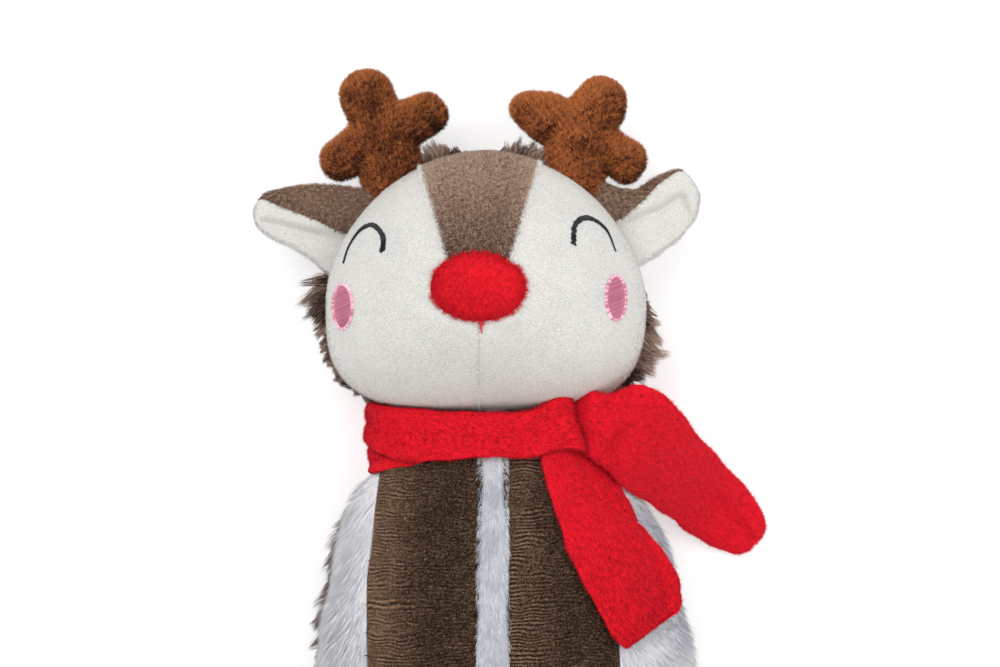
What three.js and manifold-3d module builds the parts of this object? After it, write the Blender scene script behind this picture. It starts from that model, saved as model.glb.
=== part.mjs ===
// A plush deer with a knitted-pile scarf, lying on its back.
// Millimetres. +Z points up out of the face, +Y runs from the feet to the antlers, and +X is to
// the viewer's right. The origin is on the ground, in the flat patch under the middle of the back.
// Every fabric panel is a shell of its own over a core of stuffing, and "left" is the viewer's left.

import * as THREE from "three";
import { mergeVertices } from "three/addons/utils/BufferGeometryUtils.js";
import Module from "manifold-3d";

const wasm = await Module();
wasm.setup();

// Cloth and sewing
const fabric = 2.4; // a panel with its pile
const seamGap = 0.3; // between panels, and between any two pieces that touch
const floorSink = 0.5; // how much of the round back the ground flattens
const overrun = 300; // how far every cutting block reaches past what it cuts
const quarterTurn = Math.PI / 2;
const degree = Math.PI / 180;
const swingStep = 20; // degrees between the places where a swinging piece is cleared

// Head
const headWidth = 128;
const crownHeight = 61;
const jawHeight = 43;
const faceDepth = 52;
const napeDepth = 44;
const headX = -1.8;
const headY = 134;
const crownPower = 1.87;
const jawPower = 3;
const faceDepthPower = 2;
const napeDepthPower = 2.4;
const muzzleHeight = 5;
const muzzleRadius = 30;
const noseShiftX = -2.6;
const noseShiftY = 6.8;
const faceSeamDrop = 8; // the seam behind the widest line of the head
const headRound = 24;
const headRows = 12;

// Face details, placed from the middle of the nose
const noseWidth = 37;
const noseHeight = 27;
const noseProud = 5;
const noseDepth = 9;
const browTopWidth = 49;
const browNoseWidth = 19;
const browTopY = 51; // over the nose
const faceTilt = 1.8; // the sewn face sits a little askew on the stuffing
const cheekWidth = 9.2;
const cheekHeight = 18.4;
const cheekX = 53.9;
const cheekDrop = 5.9; // under the middle of the nose
const threadProud = 0.9;
const eyeX = 45.5;
const eyeY = 14.6; // over the middle of the nose
const eyeHalfWidth = 8.1;
const eyeHeight = 11.8;
const eyeInnerStroke = 2.2;
const eyeOuterStroke = 1;
const eyeSteps = 9;
const threadRound = 16;
const noseRound = 24;

// Torso, from the neck down
const torsoLength = 190;
const torsoWidth = 146;
const torsoDepth = 78;
const torsoLean = 8; // the stuffing has settled towards the viewer's right
const torsoFrontPower = 2.3;
const torsoBackPower = 2.8;
const torsoRound = 24;
const torsoRows = 15;
const torsoSeamShare = 0.42; // height of the side seam in the depth
const neckPush = 4; // the neck runs this far into the head's hollow before it is cut to it
const stripTopWidth = 10.4;
const stripFootWidth = 15;
const stripX = 1.2;
const chestPanelWidth = 43;
const chestPanelNeckWidth = 38;
const chestPanelFlare = 70; // below the neck, where the panel reaches its full width
const chestPuff = 1.6; // the short-pile panels stand proud of the long-pile ones

// Shares of torsoLength from the neck, then of half torsoWidth, of torsoDepth and of the lift
const torsoWidthShares = [
  [0, 0.6], [0.09, 0.62], [0.15, 0.67], [0.28, 0.85], [0.4, 0.93],
  [0.54, 1], [0.7, 1], [0.86, 0.9], [1, 0.78],
];
const torsoDepthShares = [
  [0, 0.74], [0.09, 0.76], [0.15, 0.82], [0.28, 0.92], [0.4, 0.97],
  [0.54, 1], [0.7, 0.98], [0.86, 0.86], [1, 0.66],
];
const torsoLiftShares = [
  [0, 1], [0.09, 1], [0.17, 0.75], [0.3, 0], [0.86, 0], [1, 0],
];
const torsoLift = 8.5; // the neck clears the ground by the scarf's thickness
const torsoEndShare = 0.17; // the rounded end at the seat
const torsoEndPower = 2.4;
const neckEndShare = 0.05;

// Ears
const earLength = 38;
const earStretch = 1.7; // the left ear lies flatter than the right one
const earWidth = 29.5; // as it shows, with the upper edge folded over
const earFlap = 14; // the part folded over
const earCurl = 3.2; // radius of the fold
const earSheet = 2.2;
const earBury = 12;
const earFlatColumns = 3;
const earCurlColumns = 4;
const earRowShares = [0, 0.2, 0.4, 0.6, 0.76, 0.88, 0.96, 1];
const earWidthShares = [
  [0, 0.9], [0.2, 1], [0.4, 0.99], [0.6, 0.89], [0.76, 0.75], [0.88, 0.58], [0.96, 0.4], [1, 0.24],
];
const earSwing = 20;

// Antlers: a stem and three tines that meet at the fork
const antlerHeight = 46;
const antlerThinShare = 0.72; // thickness as a share of the tines' width
const antlerFabric = 1.8;
const antlerBury = 11;
const antlerSides = 8;
const antlerSwing = 15;
const antlerRoom = 1.2; // between the stem and the ear beside it, as both move
const stemShare = 0.25; // radius of the stem at the root

// The fork and the middle of each tine's round end, from the middle of the root, and the radius
// there, as shares of antlerHeight, with x counted outwards from the toy's middle
const antlerShares = {
  left: {
    fork: { x: 0.1, y: 0.47, radius: 0.27 },
    crown: { x: 0.23, y: 0.8, radius: 0.235 },
    inner: { x: -0.25, y: 0.65, radius: 0.165 },
    outer: { x: 0.51, y: 0.23, radius: 0.175 },
  },
  right: {
    fork: { x: 0.02, y: 0.49, radius: 0.27 },
    crown: { x: 0.2, y: 0.72, radius: 0.235 },
    inner: { x: -0.39, y: 0.68, radius: 0.165 },
    outer: { x: 0.44, y: 0.22, radius: 0.165 },
  },
};

// Scarf: one double-layer strip, wound round the neck and crossed at the front
const scarfWidth = 29;
const scarfThick = 6;
const scarfFrontWidth = 18;
const scarfFrontRise = 1.5; // the gathered part sits up under the chin
const scarfDrop = 10.5; // from the head's lower edge to the middle of the strip
const scarfY = headY - jawHeight - scarfDrop;
const bandSteps = 26;
const bandSides = 8;
const bandPower = 2.6;
const knotX = 43;
const knotHalfWidth = 17;
const knotHalfHeight = 15;
const knotDepth = 15;
const knotRise = 9.5; // how far the middle of the knot stands over the band
const knotRound = 18;
const longTailWidth = 31;
const longTailThick = 7.5;
const longTailRun = 60; // on the ground plan, from the knot to the middle of the round end
const longTailAngle = -41;
const longTailRootAcrossShare = 0.55; // of the knot's half width, out from its middle
const longTailRootUpShare = 0.2; // of the strip's width, up from its middle
const frontTailWidth = 26;
const frontTailLength = 80;
const frontTailThick = 5.5;
const underplyWidth = 24;
const underplyLength = 48;
const underplyThick = 3.4;
const flankReachShare = 0.92; // of the torso's half width, where cloth stops following the chest
const tailLift = 70;
const tailSides = 10;

// Legs
const legLength = 58;
const legWidth = 43;
const legDepth = 40;
const legSpread = 29; // from the middle of the chest strip to the middle of a leg
const legBury = 24;
const legRound = 14;
const legSwing = 60;
const legPower = 2.3;
const legWidthShares = [[0, 0.96], [0.3, 0.95], [0.6, 0.97], [0.85, 1], [1, 1]];
const legRowShares = [0.04, 0.3, 0.6, 0.76, 0.88, 0.96];
const legEndShare = 0.24;

// Neck
const headNod = 25;

// Finishes, with colours as they look in daylight
const finishes = {
  whitePlush: new THREE.MeshStandardMaterial({ color: 0xebe9e4, roughness: 0.95 }),
  brownPlush: new THREE.MeshStandardMaterial({ color: 0x6b584b, roughness: 0.95 }),
  chestPlush: new THREE.MeshStandardMaterial({ color: 0x4d3c30, roughness: 0.95 }),
  brownFur: new THREE.MeshStandardMaterial({ color: 0x74645a, roughness: 1 }),
  whiteFur: new THREE.MeshStandardMaterial({ color: 0xdddfe6, roughness: 1 }),
  rustPlush: new THREE.MeshStandardMaterial({ color: 0x7a3f17, roughness: 0.95 }),
  redPlush: new THREE.MeshStandardMaterial({ color: 0xd8131f, roughness: 0.9 }),
  redFleece: new THREE.MeshStandardMaterial({ color: 0xcf1020, roughness: 0.9 }),
  pinkThread: new THREE.MeshStandardMaterial({ color: 0xd9769b, roughness: 0.5 }),
  blackThread: new THREE.MeshStandardMaterial({ color: 0x1d1f22, roughness: 0.5 }),
  stuffing: new THREE.MeshStandardMaterial({ color: 0xf6f4ee, roughness: 1 }),
};

// Solids

// A closed mesh as a solid that can be joined and cut, whichever way its faces were listed.
function solidOf(geometry) {
  const bare = new THREE.BufferGeometry().setAttribute("position", geometry.getAttribute("position"));
  if (geometry.index) bare.setIndex(geometry.index);
  const merged = mergeVertices(bare);
  const build = (triVerts) =>
    new wasm.Manifold(
      new wasm.Mesh({ numProp: 3, vertProperties: merged.attributes.position.array, triVerts }),
    );
  const made = build(new Uint32Array(merged.index.array));
  return made.volume() > 0 ? made : build(new Uint32Array(merged.index.array).reverse());
}

function geometryOf(solid) {
  const mesh = solid.getMesh();
  const places = new Float32Array(mesh.numVert * 3);
  for (let i = 0; i < mesh.numVert; i++) {
    places.set(mesh.vertProperties.subarray(i * mesh.numProp, i * mesh.numProp + 3), i * 3);
  }
  const geometry = new THREE.BufferGeometry()
    .setAttribute("position", new THREE.BufferAttribute(places, 3))
    .setIndex(new THREE.BufferAttribute(mesh.triVerts, 1));
  geometry.computeVertexNormals();
  return geometry;
}

function facesToSolid(points, faces) {
  const geometry = new THREE.BufferGeometry().setFromPoints(points);
  return solidOf(geometry.setIndex(faces));
}

// A closed skin through rings of points, each listed the same way round, with a point at each end.
function skin(start, rings, end) {
  const around = rings[0].length;
  const last = 1 + rings.length * around;
  const at = (ring, i) => 1 + ring * around + (i % around);
  const faces = [];
  for (let i = 0; i < around; i++) {
    faces.push(0, at(0, i + 1), at(0, i));
    faces.push(last, at(rings.length - 1, i), at(rings.length - 1, i + 1));
    for (let r = 0; r + 1 < rings.length; r++) {
      faces.push(at(r, i), at(r, i + 1), at(r + 1, i + 1), at(r, i), at(r + 1, i + 1), at(r + 1, i));
    }
  }
  return facesToSolid([start, ...rings.flat(), end], faces);
}

// A closed ring, such as a band round a neck, through sections that follow one another.
function hoop(sections) {
  const around = sections[0].length;
  const at = (s, i) => (s % sections.length) * around + (i % around);
  const faces = [];
  for (let s = 0; s < sections.length; s++) {
    for (let i = 0; i < around; i++) {
      faces.push(at(s, i), at(s, i + 1), at(s + 1, i + 1), at(s, i), at(s + 1, i + 1), at(s + 1, i));
    }
  }
  return facesToSolid(sections.flat(), faces);
}

// A sheet between two grids of points with the same rows and columns.
function sheetBetween(upper, lower) {
  const rows = upper.length;
  const columns = upper[0].length;
  const at = (side, r, c) => side * rows * columns + r * columns + c;
  const faces = [];
  const quad = (a, b, c, d) => faces.push(a, b, c, a, c, d);
  for (let r = 0; r + 1 < rows; r++) {
    for (let c = 0; c + 1 < columns; c++) {
      quad(at(0, r, c), at(0, r, c + 1), at(0, r + 1, c + 1), at(0, r + 1, c));
      quad(at(1, r, c), at(1, r + 1, c), at(1, r + 1, c + 1), at(1, r, c + 1));
    }
    quad(at(0, r, 0), at(0, r + 1, 0), at(1, r + 1, 0), at(1, r, 0));
    const end = columns - 1;
    quad(at(0, r, end), at(1, r, end), at(1, r + 1, end), at(0, r + 1, end));
  }
  for (let c = 0; c + 1 < columns; c++) {
    const end = rows - 1;
    quad(at(0, 0, c), at(1, 0, c), at(1, 0, c + 1), at(0, 0, c + 1));
    quad(at(0, end, c), at(0, end, c + 1), at(1, end, c + 1), at(1, end, c));
  }
  return facesToSolid([...upper.flat(), ...lower.flat()], faces);
}

// A block that stands on an outline in the ground plan and reaches past everything above and below.
function prism(outline) {
  const shape = new THREE.Shape(outline.map(([x, y]) => new THREE.Vector2(x, y)));
  const geometry = new THREE.ExtrudeGeometry(shape, { depth: 2 * overrun, bevelEnabled: false });
  return solidOf(geometry.translate(0, 0, -overrun));
}

// Everything on one side of a level, from that level up or down.
function halfSpace(axis, level, side) {
  const size = 2 * overrun;
  const middle = new THREE.Vector3();
  middle[axis] = level + side * overrun;
  const geometry = new THREE.BoxGeometry(size, size, size);
  return solidOf(geometry.translate(middle.x, middle.y, middle.z));
}

function moved(solid, matrix) {
  return solidOf(geometryOf(solid).applyMatrix4(matrix));
}

function turnAbout(hinge, angle) {
  const there = new THREE.Matrix4().makeTranslation(hinge.at);
  const turn = new THREE.Matrix4().makeRotationAxis(hinge.axis, angle * degree);
  const back = new THREE.Matrix4().makeTranslation(hinge.at.clone().negate());
  return there.multiply(turn).multiply(back);
}

// A swinging piece, cut to clear what it swings on at rest, at its stops and on the way.
function clearOf(piece, hinge, ...fixed) {
  const steps = Math.ceil((hinge.high - hinge.low) / swingStep);
  let cut = piece;
  for (let i = 0; i <= steps; i++) {
    const stop = hinge.low + ((hinge.high - hinge.low) * i) / steps;
    for (const solid of fixed) {
      cut = cut.subtract(stop ? moved(solid, turnAbout(hinge, -stop)) : solid);
    }
  }
  return largest(cut);
}

// The main body of a cut piece, without the slivers that a cut can leave.
function largest(solid) {
  return solid.decompose().reduce((most, next) => (next.volume() > most.volume() ? next : most));
}

// Curves

// Where a superellipse of that power is met at an angle.
function superPoint(angle, power) {
  const [c, s] = [Math.cos(angle), Math.sin(angle)];
  const bend = (value) => Math.sign(value) * Math.abs(value) ** (2 / power);
  return [bend(c), bend(s)];
}

// A smooth curve through the rows of a table, read at a share.
function readTable(table, share) {
  const held = Math.min(Math.max(share, table[0][0]), table.at(-1)[0]);
  const i = Math.max(1, table.findIndex(([at]) => at >= held));
  const slope = (k) => {
    const [before, after] = [table[Math.max(k - 1, 0)], table[Math.min(k + 1, table.length - 1)]];
    return (after[1] - before[1]) / (after[0] - before[0]);
  };
  const [[x0, y0], [x1, y1]] = [table[i - 1], table[i]];
  const t = (held - x0) / (x1 - x0);
  const span = x1 - x0;
  return (
    y0 * (1 - t) ** 2 * (1 + 2 * t) + y1 * t ** 2 * (3 - 2 * t) +
    span * t * (1 - t) * (slope(i - 1) * (1 - t) - slope(i) * t)
  );
}

// How far a rounded end has opened, from 0 at its tip to 1 where it is full.
function endRound(share, power) {
  const short = Math.max(0, 1 - Math.min(1, Math.max(0, share)));
  return (1 - short ** power) ** (1 / power);
}

function ringOf(count, pointAt) {
  return Array.from({ length: count }, (_, i) => pointAt((2 * Math.PI * i) / count));
}

function ovalOutline(x, y, halfWidth, halfHeight, count) {
  return ringOf(count, (angle) => [x + halfWidth * Math.cos(angle), y + halfHeight * Math.sin(angle)]);
}

// Head

const headZ = napeDepth - floorSink;
const faceSeamZ = headZ - faceSeamDrop;
const noseX = headX + noseShiftX;
const noseY = headY + noseShiftY;

// A point on the head: tilt runs from the nape to the nose, angle round the face, and grow moves
// the surface out from, or into, the sewn shape.
function headPoint(tilt, angle, grow) {
  const level = Math.sin(tilt);
  const front = level > 0;
  const depthPower = front ? faceDepthPower : napeDepthPower;
  const spread = Math.cos(tilt) ** (2 / depthPower);
  const reach = Math.sign(level) * Math.abs(level) ** (2 / depthPower);
  const upper = Math.sin(angle) > 0;
  const [across, up] = superPoint(angle, upper ? crownPower : jawPower);
  const forward = Math.max(0, level) ** 2;
  const x = headX + (headWidth / 2 + grow) * spread * across + noseShiftX * forward;
  const y = headY + ((upper ? crownHeight : jawHeight) + grow) * spread * up + noseShiftY * forward;
  const fromNose = Math.hypot(x - noseX, y - noseY) / muzzleRadius;
  const muzzle = front ? muzzleHeight * Math.exp(-(fromNose ** 2)) * level : 0;
  return new THREE.Vector3(x, y, headZ + ((front ? faceDepth : napeDepth) + grow) * reach + muzzle);
}

function headForm(grow) {
  const rings = [];
  for (let row = 1; row < headRows; row++) {
    const tilt = quarterTurn * ((2 * row) / headRows - 1);
    rings.push(ringOf(headRound, (angle) => headPoint(tilt, angle, grow)));
  }
  return skin(headPoint(-quarterTurn, 0, grow), rings, headPoint(quarterTurn, 0, grow));
}

// Torso

const torsoTopY = headY - jawHeight + neckPush;

function torsoRow(share, grow) {
  const seat = endRound((1 - share) / torsoEndShare, torsoEndPower);
  const neck = endRound(share / neckEndShare, torsoEndPower);
  const open = seat * neck;
  const bottom = torsoLift * readTable(torsoLiftShares, share) - floorSink;
  const depth = torsoDepth * readTable(torsoDepthShares, share) - bottom;
  const middle = bottom + depth * torsoSeamShare;
  return {
    x: stripX + torsoLean * Math.sin(quarterTurn * Math.min(1, Math.max(0, share - neckEndShare))),
    y: torsoTopY + grow - (torsoLength + 2 * grow) * share,
    z: middle,
    half: (torsoWidth / 2) * readTable(torsoWidthShares, share) * open + grow,
    front: (bottom + depth - middle) * open + grow,
    back: (middle - bottom) * (share > 0.5 ? seat ** 0.5 : neck) + grow,
  };
}

function torsoPoint(share, angle, grow) {
  const row = torsoRow(share, grow);
  const upper = Math.sin(angle) > 0;
  const [across, up] = superPoint(angle, upper ? torsoFrontPower : torsoBackPower);
  return new THREE.Vector3(row.x + row.half * across, row.y, row.z + (upper ? row.front : row.back) * up);
}

function torsoForm(grow) {
  const rings = [];
  for (let row = 1; row < torsoRows; row++) {
    const share = 0.5 - 0.5 * Math.cos((Math.PI * row) / torsoRows);
    rings.push(ringOf(torsoRound, (angle) => torsoPoint(share, -angle, grow)));
  }
  const [top, seat] = [torsoRow(0, grow), torsoRow(1, grow)];
  return skin(
    new THREE.Vector3(top.x, top.y, top.z),
    rings,
    new THREE.Vector3(seat.x, seat.y, seat.z),
  );
}

const ground = halfSpace("z", 0, -1);
const headOuter = headForm(0).subtract(ground);
const headClear = headForm(seamGap);

// The head folds at the throat, in front of the neck, so the nape opens as it nods.
const chinShare = neckPush / torsoLength;
const neckRow = torsoRow(chinShare + neckEndShare, 0);
const hinges = {};
hinges.head_nod = {
  at: new THREE.Vector3(neckRow.x, headY - jawHeight, neckRow.z + neckRow.front),
  axis: new THREE.Vector3(1, 0, 0),
  low: 0,
  high: headNod,
};

// What the torso and the scarf have to clear: the head at rest and as it nods.
const headSweep = [0, 1 / 2, 1].map((part) =>
  part ? moved(headClear, turnAbout(hinges.head_nod, headNod * part)) : headClear,
);
const clearOfHead = (solid) => headSweep.reduce((cut, head) => cut.subtract(head), solid);

const torsoOuter = largest(clearOfHead(torsoForm(0)).subtract(ground));
const torsoClear = torsoForm(seamGap + chestPuff);

// The assembly

const deer = new THREE.Group();
deer.name = "plush_deer";

function add(name, solid, finish) {
  const mesh = new THREE.Mesh(geometryOf(largest(solid)), finish);
  mesh.name = name;
  deer.add(mesh);
}

// A shell between two forms, one fabric thick.
const shellOf = (outer, form) => outer.subtract(form(-fabric));

function addHead() {
  const shell = shellOf(headOuter, headForm);
  const face = shell.intersect(halfSpace("z", faceSeamZ + seamGap / 2, 1));
  const brow = (grow) =>
    prism([
      [noseX - browTopWidth / 2 - grow, noseY + browTopY],
      [noseX - browTopWidth / 2 - grow, noseY + overrun],
      [noseX + browTopWidth / 2 + grow, noseY + overrun],
      [noseX + browTopWidth / 2 + grow, noseY + browTopY],
      [noseX + browNoseWidth / 2 + grow, noseY],
      [noseX - browNoseWidth / 2 - grow, noseY],
    ]);
  const nose = (grow) =>
    prism(ovalOutline(noseX, noseY, noseWidth / 2 + grow, noseHeight / 2 + grow, headRound));
  const plain = face.subtract(brow(seamGap)).subtract(nose(seamGap));
  const behind = halfSpace("z", faceSeamZ - seamGap / 2, -1);
  const cushion = noseCushion().intersect(nose(0));
  add("face_panel_left", plain.intersect(halfSpace("x", noseX - seamGap / 2, -1)), finishes.whitePlush);
  add("face_panel_right", plain.intersect(halfSpace("x", noseX + seamGap / 2, 1)), finishes.whitePlush);
  add("forehead_panel", face.intersect(brow(0)).subtract(nose(seamGap)), finishes.brownPlush);
  add("head_fur_back", shell.intersect(behind), finishes.brownFur);
  add("head_stuffing", headForm(-fabric - seamGap), finishes.stuffing);
  add("nose", cushion.subtract(headForm(seamGap - fabric)), finishes.redPlush);
}

// The nose is a small cushion of its own, rounder than the muzzle that it is set into.
function noseCushion() {
  const rings = [];
  const rows = 6;
  const tip = headPoint(quarterTurn, 0, 0).z + noseProud;
  const at = (tilt, angle) =>
    new THREE.Vector3(
      noseX + (noseWidth / 2) * Math.cos(tilt) * Math.cos(angle),
      noseY + (noseHeight / 2) * Math.cos(tilt) * Math.sin(angle),
      tip - noseDepth - noseProud + (noseDepth + noseProud) * Math.sin(tilt),
    );
  for (let row = 1; row < rows; row++) {
    const tilt = quarterTurn * ((2 * row) / rows - 1);
    rings.push(ringOf(noseRound, (angle) => at(tilt, angle)));
  }
  return skin(at(-quarterTurn, 0), rings, at(quarterTurn, 0));
}

// Embroidery lies on the face as a raised patch of thread.
function addEmbroidery() {
  const raised = headForm(threadProud).subtract(headForm(seamGap));
  const thread = raised.intersect(halfSpace("z", faceSeamZ, 1));
  for (const [side, name] of [[-1, "left"], [1, "right"]]) {
    const [cheekAtX, cheekAtY] = onFace(side * cheekX, -cheekDrop);
    const cheek = ovalOutline(cheekAtX, cheekAtY, cheekWidth / 2, cheekHeight / 2, threadRound);
    add("cheek_patch_" + name, thread.intersect(prism(cheek)), finishes.pinkThread);
    add("eye_stitch_" + name, thread.intersect(prism(eyeOutline(side))), finishes.blackThread);
  }
}

// A place on the sewn face, from the middle of the nose, turned with the face.
function onFace(x, y) {
  const place = new THREE.Vector2(x, y).rotateAround(new THREE.Vector2(), faceTilt * degree);
  return [noseX + place.x, noseY + place.y];
}

// A smiling closed eye: half an oval, drawn thick at the nose and thin at the temple.
function eyeOutline(side) {
  const edge = (outwards) =>
    Array.from({ length: eyeSteps + 1 }, (_, i) => {
      const share = i / eyeSteps;
      const angle = Math.PI * share;
      const stroke = eyeInnerStroke + (eyeOuterStroke - eyeInnerStroke) * share;
      const out = (outwards * stroke) / 2;
      const across = side * (eyeX - (eyeHalfWidth + out) * Math.cos(angle));
      return onFace(across, eyeY + (eyeHeight + out) * Math.sin(angle));
    });
  return [...edge(1), ...edge(-1).reverse()];
}

function addTorso() {
  const shell = shellOf(torsoOuter, torsoForm);
  const sideSeamZ = torsoDepth * torsoSeamShare;
  const front = shell.intersect(halfSpace("z", sideSeamZ + seamGap / 2, 1));
  const proud = largest(clearOfHead(torsoForm(chestPuff)))
    .subtract(torsoForm(-fabric))
    .intersect(halfSpace("z", sideSeamZ + seamGap / 2, 1));
  const seatY = torsoTopY - torsoLength;
  // The two long edges of a chest panel in the ground plan, from above the neck to below the seat.
  const stripEdge = (side, out) => [
    [stripX + side * (stripTopWidth / 2 + out), torsoTopY + overrun],
    [stripX + side * (stripTopWidth / 2 + out), torsoTopY],
    [stripX + side * (stripFootWidth / 2 + out), seatY],
    [stripX + side * (stripFootWidth / 2 + out), seatY - overrun],
  ];
  const flankEdge = (side, out) => [
    [stripX + side * (stripTopWidth / 2 + chestPanelNeckWidth + out), torsoTopY + overrun],
    [stripX + side * (stripTopWidth / 2 + chestPanelNeckWidth + out), torsoTopY],
    [stripX + side * (stripFootWidth / 2 + chestPanelWidth + out), torsoTopY - chestPanelFlare],
    [stripX + side * (stripFootWidth / 2 + chestPanelWidth + out), seatY - overrun],
  ];
  const between = (left, right) => prism([...left, ...right.reverse()]);
  const half = seamGap / 2;
  const strip = between(stripEdge(-1, -half), stripEdge(1, -half));
  add("chest_strip", front.intersect(strip), finishes.whiteFur);
  for (const [side, name] of [[-1, "left"], [1, "right"]]) {
    const panel = between(stripEdge(side, half), flankEdge(side, -half));
    const flank = between(flankEdge(side, half), flankEdge(side, overrun));
    add("chest_panel_" + name, proud.intersect(panel), finishes.chestPlush);
    add("side_fur_" + name, front.intersect(flank), finishes.whiteFur);
  }
  add("back_fur_panel", shell.intersect(halfSpace("z", sideSeamZ - half, -1)), finishes.brownFur);
  add("torso_stuffing", clearOfHead(torsoForm(-fabric - seamGap)), finishes.stuffing);
}

// Scarf

const bandShare = (torsoTopY - scarfY) / torsoLength;
const frontHalf = scarfFrontWidth / 2;

// One section of the band, at an angle round the neck. It is gathered narrower over the throat.
function bandSection(angle, grow) {
  const gathered = Math.max(0, Math.sin(angle)) ** 2;
  const half = (scarfWidth / 2) * (1 - gathered) + frontHalf * gathered + grow;
  const thick = scarfThick / 2 + grow;
  return ringOf(bandSides, (turn) => {
    const [out, along] = superPoint(turn, bandPower);
    const share = bandShare - (along * half + scarfFrontRise * gathered) / torsoLength;
    const off = seamGap + chestPuff + scarfThick / 2 + out * thick;
    const place = torsoPoint(Math.max(neckEndShare, share), angle, off);
    return place.setY(torsoTopY - torsoLength * share);
  });
}

function bandForm(grow) {
  return hoop(ringOf(bandSteps, (angle) => bandSection(angle, grow)));
}

function knotForm(grow) {
  const middleY = scarfY + (scarfWidth - knotHalfHeight) / 2;
  const middleZ = bandTopZ(knotX) + (knotRise - knotDepth) / 2;
  const halfDepth = (knotRise + knotDepth) / 2;
  const rows = 8;
  const at = (tilt, angle) =>
    new THREE.Vector3(
      knotX + (knotHalfWidth + grow) * Math.cos(tilt) * Math.cos(angle),
      middleY + (knotHalfHeight + grow) * Math.cos(tilt) * Math.sin(angle),
      middleZ + (halfDepth + grow) * Math.sin(tilt),
    );
  const rings = [];
  for (let row = 1; row < rows; row++) {
    const tilt = quarterTurn * ((2 * row) / rows - 1);
    rings.push(ringOf(knotRound, (angle) => at(tilt, angle)));
  }
  return skin(at(-quarterTurn, 0), rings, at(quarterTurn, 0));
}

// Height of the band's outer face where it passes a place across the chest.
function bandTopZ(x) {
  const row = torsoRow(bandShare, seamGap + chestPuff + scarfThick);
  const reach = Math.min(1, Math.abs(x - row.x) / row.half);
  return row.z + row.front * (1 - reach ** torsoFrontPower) ** (1 / torsoFrontPower);
}

// A soft strip along a path of { x, y, width } in the ground plan, its middle at the height that
// levelAt gives for each place.
function softStrip(path, thick, levelAt, grow) {
  const points = path.map((p) => new THREE.Vector3(p.x, p.y, levelAt(p.x, p.y)));
  const ring = (i) => {
    const along = points[i + 1].clone().sub(points[i - 1]).setZ(0).normalize();
    const across = new THREE.Vector3(along.y, -along.x, 0);
    return ringOf(tailSides, (turn) => {
      const [side, height] = superPoint(turn, bandPower);
      const place = points[i].clone().addScaledVector(across, side * (path[i].width / 2 + grow));
      const rise = height * ((thick * (path[i].thick ?? 1)) / 2 + grow);
      return place.setZ(levelAt(place.x, place.y) + rise);
    });
  };
  const reach = (from, to) => from.clone().add(from.clone().sub(to).normalize().multiplyScalar(grow));
  const inner = points.slice(1, -1).map((_, i) => ring(i + 1));
  return skin(reach(points[0], points[1]), inner, reach(points.at(-1), points.at(-2)));
}

// The long tail leaves the knot, comes down over the shoulder and ends on the ground.
// Shares of the run, of the drop and of the width, with a round end.
const longTailShares = [
  [-0.12, 0, 0], [-0.1, 0, 0.6], [0.02, 0.01, 0.86], [0.2, 0.1, 1],
  [0.4, 0.3, 1.02], [0.6, 0.56, 1], [0.8, 0.8, 0.95], [0.98, 0.93, 0.88],
  [1.14, 0.985, 0.76], [1.26, 0.995, 0.5], [1.33, 1, 0.2], [1.34, 1, 0],
];
const longTailRoot = {
  x: knotX + knotHalfWidth * longTailRootAcrossShare,
  y: scarfY + scarfWidth * longTailRootUpShare,
};

function longTailForm(grow) {
  const [alongX, alongY] = [Math.cos(longTailAngle * degree), Math.sin(longTailAngle * degree)];
  const high = bandTopZ(knotX) + knotRise - longTailThick / 2;
  const low = longTailThick / 2 - floorSink;
  const path = longTailShares.map(([run, , width]) => ({
    x: longTailRoot.x + longTailRun * run * alongX,
    y: longTailRoot.y + longTailRun * run * alongY,
    width: longTailWidth * width,
  }));
  const drops = longTailShares.map(([run, drop]) => [run, drop]);
  const levelAt = (x, y) => {
    const run = (x - longTailRoot.x) * alongX + (y - longTailRoot.y) * alongY;
    return high + (low - high) * readTable(drops, run / longTailRun);
  };
  return softStrip(path, longTailThick, levelAt, grow);
}

// The front tail comes out under the band and lies on the chest, turning towards the viewer's right.
// Shares of its length sideways and down, of its width, and of its thickness.
const frontTailShares = [
  [-0.01, -0.04, 0, 1], [0, -0.02, 0.6, 0.8], [0.03, 0.06, 0.8, 1], [0.1, 0.22, 0.87, 1],
  [0.2, 0.42, 0.98, 1], [0.3, 0.6, 1.1, 1], [0.395, 0.75, 1.18, 1], [0.435, 0.82, 1.2, 0.9],
  [0.45, 0.845, 1.05, 0.6], [0.455, 0.85, 0, 1],
];
const frontTailX = 27.5;

// Height of the chest's pile. Past the shoulder of the flank, cloth that lies on it stands off.
function chestZ(x, y) {
  const row = torsoRow((torsoTopY - y) / torsoLength, seamGap + chestPuff);
  const reach = Math.min(flankReachShare, Math.abs(x - row.x) / row.half);
  return row.z + row.front * (1 - reach ** torsoFrontPower) ** (1 / torsoFrontPower);
}

function frontTailForm(grow) {
  const startY = scarfY - frontHalf - seamGap;
  const path = frontTailShares.map(([aside, down, width, thick]) => ({
    x: frontTailX + frontTailLength * aside,
    y: startY - frontTailLength * down,
    width: frontTailWidth * width,
    thick,
  }));
  return softStrip(path, frontTailThick, (x, y) => chestZ(x, y) + frontTailThick / 2, grow);
}

// The turned-under ply beside the front tail, deeper and in its shade.
const underplyShares = [
  [0, -0.02, 0], [0.02, 0.02, 0.7], [0.12, 0.28, 0.95], [0.28, 0.52, 0.95],
  [0.5, 0.76, 0.8], [0.72, 0.96, 0.4], [0.78, 1.02, 0],
];
const underplyX = 36;

function underplyForm() {
  const startY = scarfY - frontHalf - seamGap;
  const path = underplyShares.map(([aside, down, width]) => ({
    x: underplyX + underplyLength * aside,
    y: startY - underplyLength * down,
    width: underplyWidth * width,
  }));
  return softStrip(path, underplyThick, (x, y) => chestZ(x, y) + underplyThick / 2, 0);
}

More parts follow.
